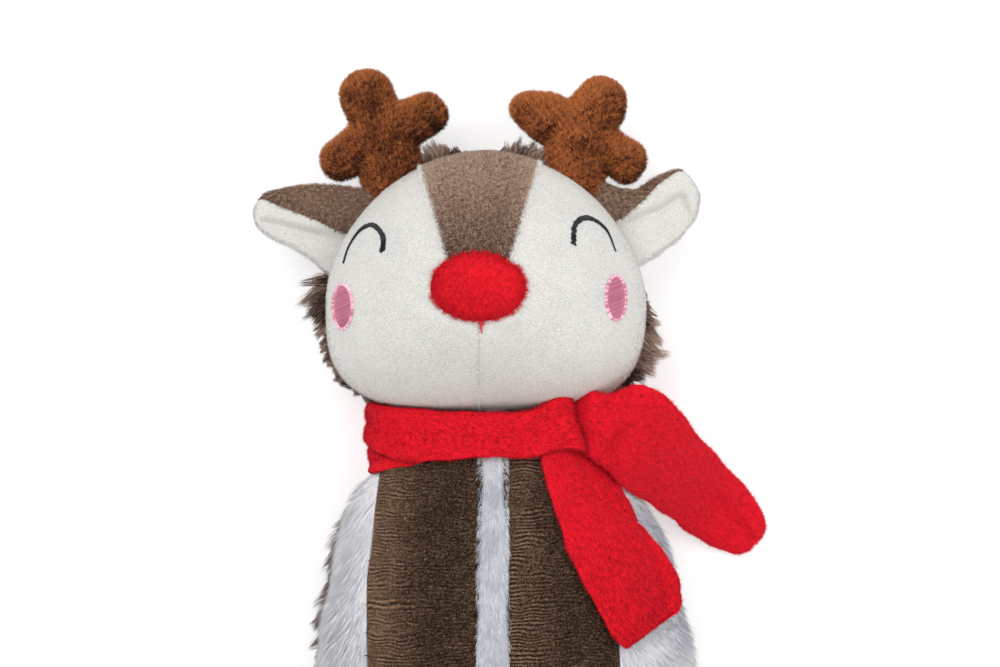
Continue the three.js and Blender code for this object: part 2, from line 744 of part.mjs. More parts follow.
function addScarf() {
  const aim = longTailAngle * degree;
  hinges.long_tail_lift = {
    at: new THREE.Vector3(longTailRoot.x, longTailRoot.y, bandTopZ(knotX) + knotRise),
    axis: new THREE.Vector3(Math.sin(aim), -Math.cos(aim), 0),
    low: 0,
    high: tailLift,
  };
  const tailTopY = scarfY - frontHalf - seamGap;
  hinges.front_tail_lift = {
    at: new THREE.Vector3(frontTailX, tailTopY, chestZ(frontTailX, tailTopY) + frontTailThick),
    axis: new THREE.Vector3(-1, 0, 0),
    low: 0,
    high: tailLift,
  };
  const clearBody = (solid) => clearOfHead(solid.subtract(torsoClear)).subtract(ground);
  const band = clearBody(bandForm(0));
  const knot = clearBody(knotForm(0)).subtract(bandForm(seamGap));
  const [bandClear, knotClear] = [bandForm(seamGap), knotForm(seamGap)];
  const [frontClear, longClear] = [frontTailForm(seamGap), longTailForm(seamGap)];
  const frontTail = clearBody(frontTailForm(0));
  const front = clearOf(frontTail, hinges.front_tail_lift, bandClear, knotClear, torsoClear);
  const longTail = clearBody(longTailForm(0)).subtract(frontClear);
  const long = clearOf(longTail, hinges.long_tail_lift, bandClear, knotClear);
  const around = [bandClear, knotClear, frontClear, longClear];
  const underply = around.reduce((cut, solid) => cut.subtract(solid), clearBody(underplyForm()));
  add("scarf_band", band, finishes.redFleece);
  add("scarf_knot", knot, finishes.redFleece);
  add("scarf_long_tail", long, finishes.redFleece);
  add("scarf_front_tail", front, finishes.redFleece);
  add("scarf_underply", underply, finishes.redFleece);
}

// Ears

// Where a piece roots on the head, at an angle round the face, on the face seam.
function rootOnHead(angle, depth) {
  const tilt = -Math.asin(Math.min(1, (faceSeamDrop + depth) / napeDepth) ** (napeDepthPower / 2));
  return headPoint(tilt, angle, 0);
}

const earPlaces = {
  left: { root: 148.5, points: 171, side: -1, length: earLength + earStretch },
  right: { root: 30.5, points: 23, side: 1, length: earLength - earStretch },
};
const earDrop = 1.5;

// The ear's curve across its width, from its lower edge over the fold to the edge of the flap:
// how far up, how far forward, and the way that the lining faces there.
function earFold(scale) {
  const flat = earWidth * scale - earCurl;
  const flap = Math.max(0, earFlap * scale - earCurl);
  const steps = [];
  for (let i = 0; i < earFlatColumns; i++) {
    steps.push({ up: (flat * i) / earFlatColumns, out: 0, turn: 0 });
  }
  for (let i = 0; i <= earCurlColumns; i++) {
    const turn = (Math.PI * i) / earCurlColumns;
    steps.push({ up: flat + earCurl * Math.sin(turn), out: earCurl * (1 - Math.cos(turn)), turn });
  }
  steps.push({ up: flat - flap, out: 2 * earCurl, turn: Math.PI });
  return steps.map((step) => ({ ...step, up: step.up - (earWidth * scale) / 2 }));
}

// One ply of an ear, between two distances from the surface where the plies are sewn together.
function earPly(place, near, far) {
  const root = rootOnHead(place.root * degree, earDrop);
  const along = new THREE.Vector3(Math.cos(place.points * degree), Math.sin(place.points * degree), 0);
  const up = new THREE.Vector3(-along.y * place.side, along.x * place.side, 0);
  const grid = (offset) =>
    earRowShares.map((run) => {
      const middle = root.clone().addScaledVector(along, run * (place.length + earBury) - earBury);
      return earFold(readTable(earWidthShares, run)).map((step) =>
        middle
          .clone()
          .addScaledVector(up, step.up - offset * Math.sin(step.turn))
          .add(new THREE.Vector3(0, 0, step.out + offset * Math.cos(step.turn))),
      );
    });
  return sheetBetween(grid(near), grid(far));
}

function addEars() {
  for (const side of ["left", "right"]) {
    const place = earPlaces[side];
    const root = rootOnHead(place.root * degree, earDrop);
    const lean = place.points * degree;
    const hinge = {
      at: root,
      axis: new THREE.Vector3(Math.sin(lean), -Math.cos(lean), 0),
      low: -earSwing,
      high: earSwing,
    };
    hinges["ear_" + side + "_flop"] = hinge;
    const ply = (near, far) =>
      clearOf(earPly(place, near, far), hinge, headClear, antlerForm(side, antlerRoom));
    add("ear_" + side + "_back", ply(-seamGap / 2 - earSheet, -seamGap / 2), finishes.brownPlush);
    add("ear_" + side + "_lining", ply(seamGap / 2, seamGap / 2 + earSheet), finishes.whitePlush);
  }
}

// Antlers

const antlerPlaces = { left: { root: 126, side: -1 }, right: { root: 54, side: 1 } };
const antlerDrop = 3;

// A tapered limb with round ends, flattened front to back.
function limb(from, to, fromRadius, toRadius, grow) {
  const along = to.clone().sub(from);
  const length = along.length();
  along.normalize();
  const across = new THREE.Vector3(along.y, -along.x, 0);
  const ring = (middle, radius, cap) => {
    const open = radius * Math.sqrt(1 - cap ** 2);
    return ringOf(antlerSides, (turn) =>
      middle
        .clone()
        .addScaledVector(along, cap * radius)
        .addScaledVector(across, open * Math.cos(turn))
        .add(new THREE.Vector3(0, 0, open * antlerThinShare * Math.sin(turn))),
    );
  };
  const [start, end] = [fromRadius + grow, toRadius + grow];
  const capShares = [0.9, 0.55];
  const rings = [
    ...capShares.map((cap) => ring(from, start, -cap)),
    ring(from, start, 0),
    ring(to, end, 0),
    ...capShares.map((cap) => ring(to, end, cap)).reverse(),
  ];
  const [foot, tip] = [from.clone().addScaledVector(along, -start), to.clone().addScaledVector(along, end)];
  return skin(foot, rings, tip);
}

function antlerForm(side, grow) {
  const place = antlerPlaces[side];
  const root = rootOnHead(place.root * degree, antlerDrop);
  const at = (x, y) => root.clone().add(new THREE.Vector3(place.side * x * antlerHeight, y * antlerHeight, 0));
  const { fork, ...tines } = antlerShares[side];
  const [forkAt, forkRadius] = [at(fork.x, fork.y), fork.radius * antlerHeight];
  const buried = at(0, -antlerBury / antlerHeight);
  let form = limb(buried, forkAt, stemShare * antlerHeight, forkRadius, grow);
  for (const tine of Object.values(tines)) {
    form = form.add(limb(forkAt, at(tine.x, tine.y), forkRadius, tine.radius * antlerHeight, grow));
  }
  return form;
}

function addAntlers() {
  for (const side of ["left", "right"]) {
    const root = rootOnHead(antlerPlaces[side].root * degree, antlerDrop);
    const hinge = { at: root, axis: new THREE.Vector3(1, 0, 0), low: -antlerSwing, high: antlerSwing };
    hinges["antler_" + side + "_bend"] = hinge;
    const cut = (solid) => clearOf(solid, hinge, headClear);
    const shell = antlerForm(side, 0).subtract(antlerForm(side, -antlerFabric));
    const front = shell.intersect(halfSpace("z", root.z + seamGap / 2, 1));
    const back = shell.intersect(halfSpace("z", root.z - seamGap / 2, -1));
    const core = antlerForm(side, -antlerFabric - seamGap);
    add("antler_" + side + "_front", cut(front), finishes.rustPlush);
    add("antler_" + side + "_back", cut(back), finishes.rustPlush);
    add("antler_" + side + "_stuffing", cut(core), finishes.stuffing);
  }
}

// Legs

function legForm(side, grow) {
  const x = stripX + side * legSpread;
  const top = torsoTopY - torsoLength + legBury;
  const whole = legLength + legBury;
  const z = legDepth / 2 - floorSink;
  const opened = (share) => endRound(share / legEndShare, torsoEndPower);
  const rings = legRowShares.map((share) => {
    const open = opened(1 - share) * opened(share);
    const half = (legWidth / 2) * readTable(legWidthShares, share) * open + grow;
    const deep = (legDepth / 2) * Math.sqrt(open) + grow;
    return ringOf(legRound, (turn) => {
      const [across, up] = superPoint(-turn, legPower);
      const y = top + grow - (whole + 2 * grow) * share;
      return new THREE.Vector3(x + across * half, y, z + up * deep);
    });
  });
  const [start, end] = [top + grow, top - whole - grow];
  return skin(new THREE.Vector3(x, start, z), rings, new THREE.Vector3(x, end, z));
}

function addLegs() {
  for (const [side, name] of [[-1, "left"], [1, "right"]]) {
    const x = stripX + side * legSpread;
    const foldY = torsoTopY - torsoLength;
    const hinge = {
      at: new THREE.Vector3(x, foldY, legDepth - floorSink),
      axis: new THREE.Vector3(-1, 0, 0),
      low: 0,
      high: legSwing,
    };
    hinges["leg_" + name + "_lift"] = hinge;
    const cut = (solid) => clearOf(solid.subtract(ground), hinge, torsoClear);
    const shell = legForm(side, 0).subtract(legForm(side, -fabric));
    const seamZ = legDepth / 2;
    const front = shell.intersect(halfSpace("z", seamZ + seamGap / 2, 1));
    const back = shell.intersect(halfSpace("z", seamZ - seamGap / 2, -1));
    add("leg_" + name + "_front", cut(front), finishes.chestPlush);
    add("leg_" + name + "_back", cut(back), finishes.brownFur);
    add("leg_" + name + "_stuffing", cut(legForm(side, -fabric - seamGap)), finishes.stuffing);
  }
}

addTorso();
addScarf();
addHead();
addEmbroidery();
addEars();
addAntlers();
addLegs();
deer.userData.hinges = hinges;

export default deer;
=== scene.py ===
# Looks of the plush deer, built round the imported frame.
# Shapes are worked out in millimetres in the frame's axes: +X to the viewer's right, +Y towards the
# antlers and +Z out of the face. They are turned into metres when a piece is made.

import zlib

import bpy
import numpy as np
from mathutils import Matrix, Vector
from mathutils.bvhtree import BVHTree


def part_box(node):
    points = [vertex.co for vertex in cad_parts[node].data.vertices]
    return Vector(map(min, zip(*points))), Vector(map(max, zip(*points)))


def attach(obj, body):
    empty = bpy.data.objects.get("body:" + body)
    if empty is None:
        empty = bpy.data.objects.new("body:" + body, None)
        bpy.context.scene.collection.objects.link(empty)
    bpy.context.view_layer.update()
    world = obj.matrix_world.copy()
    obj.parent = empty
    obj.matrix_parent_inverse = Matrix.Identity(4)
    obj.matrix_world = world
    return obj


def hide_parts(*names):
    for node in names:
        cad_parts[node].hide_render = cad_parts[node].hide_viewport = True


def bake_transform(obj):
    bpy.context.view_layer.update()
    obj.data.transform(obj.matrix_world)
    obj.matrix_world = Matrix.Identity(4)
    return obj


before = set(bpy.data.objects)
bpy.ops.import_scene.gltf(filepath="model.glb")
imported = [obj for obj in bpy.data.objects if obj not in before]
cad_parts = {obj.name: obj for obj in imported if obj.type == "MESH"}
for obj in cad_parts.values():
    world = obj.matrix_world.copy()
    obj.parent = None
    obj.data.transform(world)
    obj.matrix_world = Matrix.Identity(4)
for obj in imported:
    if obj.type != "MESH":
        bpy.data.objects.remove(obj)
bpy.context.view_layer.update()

MM = 0.001
QUARTER = np.pi / 2
DEGREE = np.pi / 180

# Cloth
CRISP_ANGLE = 60 * DEGREE
FABRIC = 2.4
SEAM_GAP = 0.3
HALF_GAP = SEAM_GAP / 2
CLOSE_SEAM = 0.04
SEAM_DIP_WIDTH = 1.3
RELIEF_DEPTH = 0.4
FLOOR_SINK = 0.5
CORE_GROW = -FABRIC - SEAM_GAP

# Head
HEAD_WIDTH = 128
CROWN_HEIGHT = 61
JAW_HEIGHT = 43
FACE_DEPTH = 52
NAPE_DEPTH = 44
HEAD_X = -1.8
HEAD_Y = 134
HEAD_Z = NAPE_DEPTH - FLOOR_SINK
CROWN_POWER = 1.87
JAW_POWER = 3
FACE_POWER = 2
NAPE_POWER = 2.4
MUZZLE_HEIGHT = 5
MUZZLE_RADIUS = 30
NOSE_SHIFT_X = -2.6
NOSE_SHIFT_Y = 6.8
FACE_SEAM_BACK = 8
FACE_SEAM_Z = HEAD_Z - FACE_SEAM_BACK

# Face
NOSE_X = HEAD_X + NOSE_SHIFT_X
NOSE_Y = HEAD_Y + NOSE_SHIFT_Y
NOSE_WIDTH = 37
NOSE_HEIGHT = 27
NOSE_PROUD = 5
BROW_TOP_HALF = 24.5
BROW_NOSE_HALF = 9.5
BROW_TOP_Y = 51
FACE_TILT = 1.8 * DEGREE
CHEEK_HALF_WIDTH = 4.6
CHEEK_HALF_HEIGHT = 9.2
CHEEK_X = 53.9
CHEEK_Y = -5.9
EYE_X = 45.5
EYE_Y = 14.6
EYE_HALF_WIDTH = 8.1
EYE_HEIGHT = 11.8
EYE_INNER_STROKE = 2
EYE_OUTER_STROKE = 0.5

# Torso
NECK_OVERLAP = 4
TORSO_TOP = HEAD_Y - JAW_HEIGHT + NECK_OVERLAP
TORSO_LENGTH = 190
TORSO_WIDTH = 146
TORSO_DEPTH = 78
TORSO_LEAN = 8
FRONT_POWER = 2.3
BACK_POWER = 2.8
SIDE_SEAM_SHARE = 0.42
SIDE_SEAM_Z = TORSO_DEPTH * SIDE_SEAM_SHARE
STRIP_X = 1.2
STRIP_TOP_HALF = 5.2
STRIP_FOOT_HALF = 7.5
PANEL_NECK_WIDTH = 38
PANEL_WIDTH = 43
PANEL_FLARE = 70
CHEST_PUFF = 1.6
RIB_PITCH = 1.5
RIB_HEIGHT = 0.32
TORSO_LIFT = 8.5
NECK_END_SHARE = 0.05
SEAT_END_SHARE = 0.17
END_POWER = 2.4

# Shares of the torso's length from the neck, then of its half width, of its depth and of its lift
TORSO_WIDTH_SHARES = [
    (0, 0.6), (0.09, 0.62), (0.15, 0.67), (0.28, 0.85), (0.4, 0.93), (0.54, 1), (0.7, 1), (0.86, 0.9),
    (1, 0.78),
]
TORSO_DEPTH_SHARES = [
    (0, 0.74), (0.09, 0.76), (0.15, 0.82), (0.28, 0.92), (0.4, 0.97), (0.54, 1), (0.7, 0.98),
    (0.86, 0.86), (1, 0.66),
]
TORSO_LIFT_SHARES = [(0, 1), (0.09, 1), (0.17, 0.75), (0.3, 0), (0.86, 0), (1, 0)]

# Scarf
SCARF_WIDTH = 29
SCARF_THICK = 6
SCARF_FRONT_WIDTH = 18
SCARF_FRONT_RISE = 1.5
SCARF_DROP = 10.5
SCARF_Y = HEAD_Y - JAW_HEIGHT - SCARF_DROP
BAND_POWER = 2.6
CROSSING = 55.5
KNOT_X = 43
KNOT_HALF_WIDTH = 17
KNOT_RISE = 9.5
LONG_TAIL_ACROSS_SHARE = 0.55
LONG_TAIL_UP_SHARE = 0.2
LONG_TAIL_X = KNOT_X + KNOT_HALF_WIDTH * LONG_TAIL_ACROSS_SHARE
LONG_TAIL_Y = SCARF_Y + SCARF_WIDTH * LONG_TAIL_UP_SHARE
LONG_TAIL_RUN = 60
LONG_TAIL_ANGLE = -41 * DEGREE
LONG_TAIL_THICK = 7.5
FRONT_TAIL_THICK = 5.5
TAIL_REST_Z = 42
UNDERPLY_THICK = 3.4
FLANK_REACH_SHARE = 0.92

# Ears and antlers
EAR_WIDTH = 29.5
EAR_DROP = 1.5
ANTLER_HEIGHT = 46
ANTLER_THIN_SHARE = 0.72
ANTLER_FABRIC = 1.8
ANTLER_DROP = 3
ANTLER_BURY = 11

# Legs
LEG_LENGTH = 58
LEG_WIDTH = 43
LEG_DEPTH = 40
LEG_SPREAD = 29
LEG_BURY = 24
LEG_POWER = 2.3
LEG_END_SHARE = 0.24

# Cloth finishes: daylight colours, and the width of their patches and grain in millimetres
CLOTHS = {
    "face_cloth": dict(
        dark=(178, 177, 172), light=(218, 216, 211), grain=0.6, patchy=0.15, bump=0.25, sheen=0.1,
    ),
    "forehead_cloth": dict(dark=(100, 76, 61), light=(140, 112, 95), bump=0.2, sheen=0.1),
    "fur_backing": dict(dark=(56, 44, 37), light=(88, 72, 62), patch=9),
    "nose_cloth": dict(dark=(214, 6, 26), light=(228, 10, 34), patch=8, sheen=0),
    "white_backing": dict(dark=(212, 214, 220), light=(228, 230, 236), patch=8, sheen=0.2),
    "scarf_cloth": dict(dark=(208, 2, 25), light=(226, 4, 32), patch=10, grain=0.8, sheen=0),
    "ear_lining_cloth": dict(
        dark=(184, 182, 177), light=(217, 215, 210), grain=0.6, patchy=0.15, bump=0.2, sheen=0.1,
    ),
    "ear_cloth": dict(dark=(84, 62, 49), light=(120, 94, 78), sheen=0.1),
    "antler_cloth": dict(dark=(74, 30, 10), light=(104, 46, 16), patch=9, patchy=0.3, sheen=0),
    "leg_cloth": dict(dark=(36, 26, 20), light=(60, 45, 36), patch=12, sheen=0.1),
    "fibre": dict(dark=(224, 222, 214), light=(246, 244, 238), patch=5),
    "hide": dict(dark=(62, 49, 41), light=(104, 86, 74), patch=9),
}

# Yarn finishes: daylight colours, and in how many steps
YARNS = {
    "face_nap": dict(dark=(226, 224, 219), light=(248, 246, 242), sheen=0.2),
    "forehead_nap": dict(dark=(76, 54, 42), light=(214, 184, 164), count=8, sheen=0.1),
    "brown_fur": dict(dark=(62, 46, 38), light=(184, 156, 140), count=6, sheen=0.1),
    "nose_nap": dict(dark=(200, 4, 20), light=(252, 34, 54), count=6, sheen=0),
    "nose_thread": dict(dark=(214, 60, 80), light=(236, 120, 132), roughness=0.5),
    "cheek_thread": dict(dark=(182, 104, 130), light=(206, 132, 152), count=3, roughness=0.45, sheen=0),
    "cheek_border": dict(dark=(206, 138, 158), light=(244, 204, 214), count=3, roughness=0.45, sheen=0),
    "eye_thread": dict(dark=(14, 15, 18), light=(44, 46, 52), count=3, roughness=0.45, sheen=0),
    "white_fur": dict(dark=(196, 198, 206), light=(252, 252, 255), count=7, sheen=0.2),
    "stripe_fur": dict(dark=(214, 216, 223), light=(246, 247, 252), count=5, sheen=0.1),
    "back_fur": dict(dark=(62, 46, 38), light=(150, 126, 112), count=5, sheen=0.15),
    "chest_nap": dict(dark=(38, 24, 15), light=(176, 142, 116), count=12, sheen=0, gloss=0.1),
    "scarf_nap": dict(dark=(176, 0, 16), light=(246, 30, 58), count=8, sheen=0),
    "ear_lining_nap": dict(dark=(220, 218, 213), light=(243, 241, 237), sheen=0.2),
    "ear_nap": dict(dark=(84, 62, 48), light=(190, 158, 136), count=7, sheen=0.1),
    "antler_nap": dict(dark=(46, 13, 2), light=(212, 126, 70), count=9, sheen=0),
    "leg_nap": dict(dark=(40, 28, 22), light=(128, 104, 88), count=6, sheen=0.1),
    "leg_fur": dict(dark=(62, 46, 38), light=(150, 126, 112), count=5, sheen=0.15),
}

# Short pile: how many yarn ends, how long and wide they are, how far they stand up, and how they vary
PILES = {
    "face_nap": dict(count=6000, length=1.3, width=0.22, lift=0.2, spread=0.2),
    "brow_fuzz": dict(count=1200, length=2.6, width=0.32, lift=0.3, spread=0.6),
    "seam_fuzz": dict(count=260, length=1.2, width=0.24, lift=0.3, spread=0.3),
    "forehead_nap": dict(
        count=20000, length=1.4, width=0.3, lift=0.4, spread=0.4, patch=1.8, mottle=0.15, speckle=0.27,
    ),
    "nose_nap": dict(count=16000, width=0.22, lift=0.35, spread=0.4, patch=1.8, mottle=0.2, speckle=0.24),
    "chest_nap": dict(
        count=34000, length=0.8, width=0.26, lift=0.5, spread=0.3, patch=18, mottle=0.03, speckle=0.28,
    ),
    "chest_edge": dict(count=5000, width=0.3, lift=0.25, spread=0.25, mottle=0.03, speckle=0.16),
    "scarf_nap": dict(length=1.4, width=0.24, lift=0.22, spread=0.2, patch=2, mottle=0.18, speckle=0.2),
    "scarf_fuzz": dict(length=1.8, width=0.18, lift=1.1, spread=0.3, patch=2.5, mottle=0.05, speckle=0.1),
    "ear_lining_nap": dict(
        count=900, length=1.1, width=0.27, lift=0.3, spread=0.2, patch=1.8, mottle=0.22, speckle=0.28,
    ),
    "ear_nap": dict(
        count=12000, length=1.7, width=0.27, lift=0.3, spread=0.2, patch=1.8, mottle=0.22, speckle=0.28,
    ),
    "antler_nap": dict(
        count=20000, length=2.3, width=0.36, lift=0.45, spread=0.5, patch=2, mottle=0.2, speckle=0.28,
    ),
    "leg_nap": dict(count=15000, length=1.7, width=0.3, lift=0.55, spread=0.2, patch=14),
}

# Long pile: the same, and how many strands make a lock and how far their tips are drawn together
FURS = {
    "head_fur": dict(
        count=23000, width=0.42, lift=0.5, spread=0.3, lock=34, pull=0.78, droop=(0, -0.14, 0.05),
    ),
    "stripe_fur": dict(
        count=18000, length=4.5, width=0.24, lift=0.3, spread=0.1, lock=8, pull=0.15, droop=(0, -0.1, 0),
        roots_darker=0,
    ),
    "flank_fur": dict(count=22000, width=0.3, lift=0.28, spread=0.12, lock=10, pull=0.3, roots_darker=0),
    "back_fur": dict(count=20000, width=0.42, lift=0.35, lock=20, pull=0.75, droop=(0, -0.1, 0.1)),
    "leg_fur": dict(count=9000, length=10, width=0.45, lift=0.3, lock=16, pull=0.5, droop=(0, -0.1, 0)),
}

# Slow unevenness: how strong it is, in millimetres where it moves a surface, and how wide
LUMPS = {
    "head_lumps": (0.5, 42), "face_pucker": (0.35, 9), "core": (0.5, 15), "nose_turn": (3, 20),
    "nose_lumps": (0.25, 12), "torso_lumps": (0.5, 40), "chest_lumps": (0.5, 22),
    "chest_patches": (0.02, 14), "rib_drift": (1.4, 34), "rib_wander": (0.5, 8), "rib_light": (1, 5),
    "torso_core": (0.4, 15), "scarf": (0.3, 14), "ear": (0.35, 11), "antler": (0.5, 14),
    "antler_patch": (0.08, 7), "leg": (0.4, 24),
}

# Where a look sets in and where it is full, in millimetres along an axis or from a seam
RAMPS = {
    "face_nap_z": (-66, -40), "brow_edge": (-9, -1), "tufts_y": (176, 186), "nape_z": (8, 30),
    "crown_y": (170, 182), "ears_z": (14, 20), "waist_y": (20, 65), "shade_x": (50, 58),
    "shade_y": (-10, 15), "shoulder_y": (15, 60), "right_x": (15, 40), "left_x": (30, 50),
    "left_y": (-20, 30), "tails_x": (24, 38), "tails_z": (6, 10), "tails_y": (5, 20), "back_z": (5, 30),
    "back_x": (20, 40), "rib_edge": (0, 2), "fringe_y": (-30, 60), "front_tail_y": (0, 45),
    "long_tail_x": (60, 95), "tuck_x": (29, 42), "leg_fur_z": (4, 18),
}

# Where a look is strongest along an axis, and how wide it is, in millimetres
BUMPS = {
    "left_tuft_y": (138, 16), "left_fur_y": (143, 11), "right_fur_y": (117, 13), "left_top_x": (-20, 9),
    "right_top_x": (15, 10),
}

# Satin stitches: how wide they are and how far they rise, and the grid of each
STITCHES = {"nose": (0.6, 1.5), "cheek_fill": (0.42, 0.75), "cheek_border": (0.55, 1), "eye": (0.5, 0.85)}
STITCH_SINK = 0.15
STITCH_ROWS = 7
STITCH_COLUMNS = 4
STITCH_TRIS = 2 * (STITCH_ROWS - 1) * (STITCH_COLUMNS - 1)
RAY_TOP = 300

SIDES = ((-1, "left"), (1, "right"))


# Random draws and smooth random fields

def draws(name):
    """Random numbers that depend on a name alone."""
    return np.random.default_rng(zlib.crc32(name.encode()))


def waves(points, size, name):
    """A smooth random field over space, from about -1 to 1, with bumps of about that size."""
    rng = draws(name)
    total, count = 0, 7
    for _ in range(count):
        way = rng.normal(size=3)
        way *= 2 * np.pi / (size * rng.uniform(0.7, 1.5) * np.linalg.norm(way))
        total = total + np.sin(points @ way + rng.uniform(0, 2 * np.pi))
    return total / np.sqrt(count)


def lumps(points, kind, name=None):
    """Unevenness of a kind, drawn for a name."""
    strength, size = LUMPS[kind]
    return strength * waves(points, size, name or kind)


def dent(distance, width):
    """1 on a line, falling smoothly to 0 at about twice that width from it."""
    return np.exp(-((distance / width) ** 2))


def ease(value, low, high):
    """0 below low, 1 above high, and smooth between them."""
    t = np.clip((value - low) / (high - low), 0, 1)
    return t * t * (3 - 2 * t)


def ramp(value, kind):
    """0 where a look sets in and 1 where it is full."""
    return ease(value, *RAMPS[kind])


def bump(value, kind):
    """1 where a look is strongest, falling smoothly to 0 on both sides."""
    middle, width = BUMPS[kind]
    return dent(value - middle, width)


# Surfaces

class Surface:
    """Points and the triangles between them."""

    def __init__(self, points, tris):
        self.points = np.asarray(points, float)
        self.tris = np.asarray(tris, int)

    def corners(self):
        return (self.points[self.tris[:, k]] for k in range(3))

    def normals(self):
        a, b, c = self.corners()
        faces = np.cross(b - a, c - a)
        total = np.zeros_like(self.points)
        for axis in range(3):
            for k in range(3):
                total[:, axis] += np.bincount(self.tris[:, k], faces[:, axis], len(self.points))
        return total / np.maximum(np.linalg.norm(total, axis=1, keepdims=True), 1e-9)

    def outward(self):
        """The same closed surface, with its faces pointing out."""
        a, b, c = self.corners()
        inside_out = np.einsum("ij,ij->i", a, np.cross(b, c)).sum() < 0
        return Surface(self.points, self.tris[:, ::-1] if inside_out else self.tris)

    def moved(self, amount):
        """Every point moved along its normal by that many millimetres."""
        return Surface(self.points + self.normals() * np.reshape(amount, (-1, 1)), self.tris)

    def above(self, level):
        """With nothing lower than a level."""
        return Surface(np.maximum(self.points, [-np.inf, -np.inf, level]), self.tris)

    def tidy(self):
        """Without the points that no triangle uses."""
        used, index = np.unique(self.tris, return_inverse=True)
        return Surface(self.points[used], index.reshape(-1, 3))

    def clip(self, field):
        """The part where a field over the points isn't negative."""
        values = field(self.points)
        inside = values >= 0
        count = inside[self.tris].sum(1)
        cut = self.tris[(count == 1) | (count == 2)]
        alone = inside[cut] == (inside[cut].sum(1, keepdims=True) == 1)
        turn = (alone.argmax(1)[:, None] + [0, 1, 2]) % 3
        lone, left, right = np.take_along_axis(cut, turn, 1).T
        edges = np.sort(np.concatenate([np.stack([lone, left], 1), np.stack([lone, right], 1)]), 1)
        size = len(self.points)
        code, index = np.unique(edges[:, 0] * size + edges[:, 1], return_inverse=True)
        low, high = code // size, code % size
        share = (values[low] / (values[low] - values[high]))[:, None]
        made = self.points[low] + share * (self.points[high] - self.points[low])
        at_left, at_right = size + index.reshape(2, -1)
        single = inside[lone]
        pair = ~single
        tris = [
            self.tris[count == 3],
            np.stack([lone, at_left, at_right], 1)[single],
            np.stack([left, right, at_right], 1)[pair],
            np.stack([left, at_right, at_left], 1)[pair],
        ]
        return Surface(np.concatenate([self.points, made]), np.concatenate(tris)).tidy()

    def shell(self, thick):
        """A closed panel, between this surface and one that lies so much deeper."""
        size = len(self.points)
        deep = self.points - self.normals() * thick
        edges = np.concatenate([self.tris[:, [0, 1]], self.tris[:, [1, 2]], self.tris[:, [2, 0]]])
        rim = edges[~np.isin(edges @ [size, 1], edges @ [1, size])]
        a, b = rim.T
        walls = [np.stack([b, a, a + size], 1), np.stack([b, a + size, b + size], 1)]
        tris = np.concatenate([self.tris, self.tris[:, ::-1] + size, *walls])
        return Surface(np.concatenate([self.points, deep]), tris)


def grid(points, close_columns=False, close_rows=False):
    """A surface through rows of points, given as an array of rows, columns and 3."""
    rows, columns = points.shape[:2]
    r = np.arange(rows if close_rows else rows - 1)[:, None]
    c = np.arange(columns if close_columns else columns - 1)[None, :]
    here, below = r * columns, (r + 1) % rows * columns
    beside = (c + 1) % columns
    corners = [here + c, here + beside, below + beside, below + c]
    quads = np.stack([k.ravel() for k in corners], -1)
    return Surface(points.reshape(-1, 3), np.concatenate([quads[:, [0, 1, 2]], quads[:, [0, 2, 3]]]))


def capped(points):
    """A closed surface through rings of points, whose first and last rings close on their middles."""
    rings, around = points.shape[:2]
    body = grid(points, close_columns=True)
    start, end = np.full((2, around), [[rings * around], [rings * around + 1]])
    i = np.arange(around)
    j = (i + 1) % around
    last = (rings - 1) * around
    caps = [np.stack([start, j, i], 1), np.stack([end, last + i, last + j], 1)]
    middles = [points[0].mean(0), points[-1].mean(0)]
    return Surface(np.vstack([body.points, middles]), np.concatenate([body.tris, *caps])).outward()


def joined(surfaces):
    starts = np.cumsum([0] + [len(s.points) for s in surfaces[:-1]])
    tris = [s.tris + start for s, start in zip(surfaces, starts)]
    return Surface(np.concatenate([s.points for s in surfaces]), np.concatenate(tris))


# Curves

def super_point(angle, power):
    """Where a superellipse of that power is met at an angle."""
    c, s = np.cos(angle), np.sin(angle)
    return np.sign(c) * np.abs(c) ** (2 / power), np.sign(s) * np.abs(s) ** (2 / power)


def split_point(angle, upper_power, lower_power):
    """The same where the upper and the lower half have powers of their own. Says which half it is."""
    upper = np.sin(angle) > 0
    above, below = super_point(angle, upper_power), super_point(angle, lower_power)
    return upper, np.where(upper, above[0], below[0]), np.where(upper, above[1], below[1])


def even_angles(count, point_at, low=0, high=2 * np.pi, closed=True):
    """Angles at which a curve is met at even steps."""
    fine = np.linspace(low, high, 20001)
    x, y = point_at(fine)
    length = np.concatenate([[0], np.cumsum(np.hypot(np.diff(x), np.diff(y)))])
    steps = np.linspace(0, length[-1], count + 1)[:-1] if closed else np.linspace(0, length[-1], count)
    return np.interp(steps, length, fine)


def even_turns(count, power, width, height):
    """Angles at even steps round a superellipse of that size."""
    def point_at(angle):
        across, up = super_point(angle, power)
        return across * width / 2, up * height / 2

    return even_angles(count, point_at)


def read_table(table, share):
    """A smooth curve through the rows of a table, read at shares."""
    places, values = np.array(table, float).T
    slopes = np.empty_like(values)
    for k in range(len(places)):
        before, after = max(k - 1, 0), min(k + 1, len(places) - 1)
        slopes[k] = (values[after] - values[before]) / (places[after] - places[before])
    held = np.clip(share, places[0], places[-1])
    i = np.clip(np.searchsorted(places, held), 1, len(places) - 1)
    span = places[i] - places[i - 1]
    t = (held - places[i - 1]) / span
    return (
        values[i - 1] * (1 - t) ** 2 * (1 + 2 * t) + values[i] * t**2 * (3 - 2 * t)
        + span * t * (1 - t) * (slopes[i - 1] * (1 - t) - slopes[i] * t)
    )


def read_rows(values, row):
    """The same through evenly spaced values, read at a row."""
    return read_table(list(enumerate(values)), row)


def end_round(share, power):
    short = 1 - np.clip(share, 0, 1)
    return (1 - short**power) ** (1 / power)


# Finishes

GRAIN_DETAIL = 3
PATCH_DETAIL = 2
SHADE_STOPS = (0.3, 0.7)


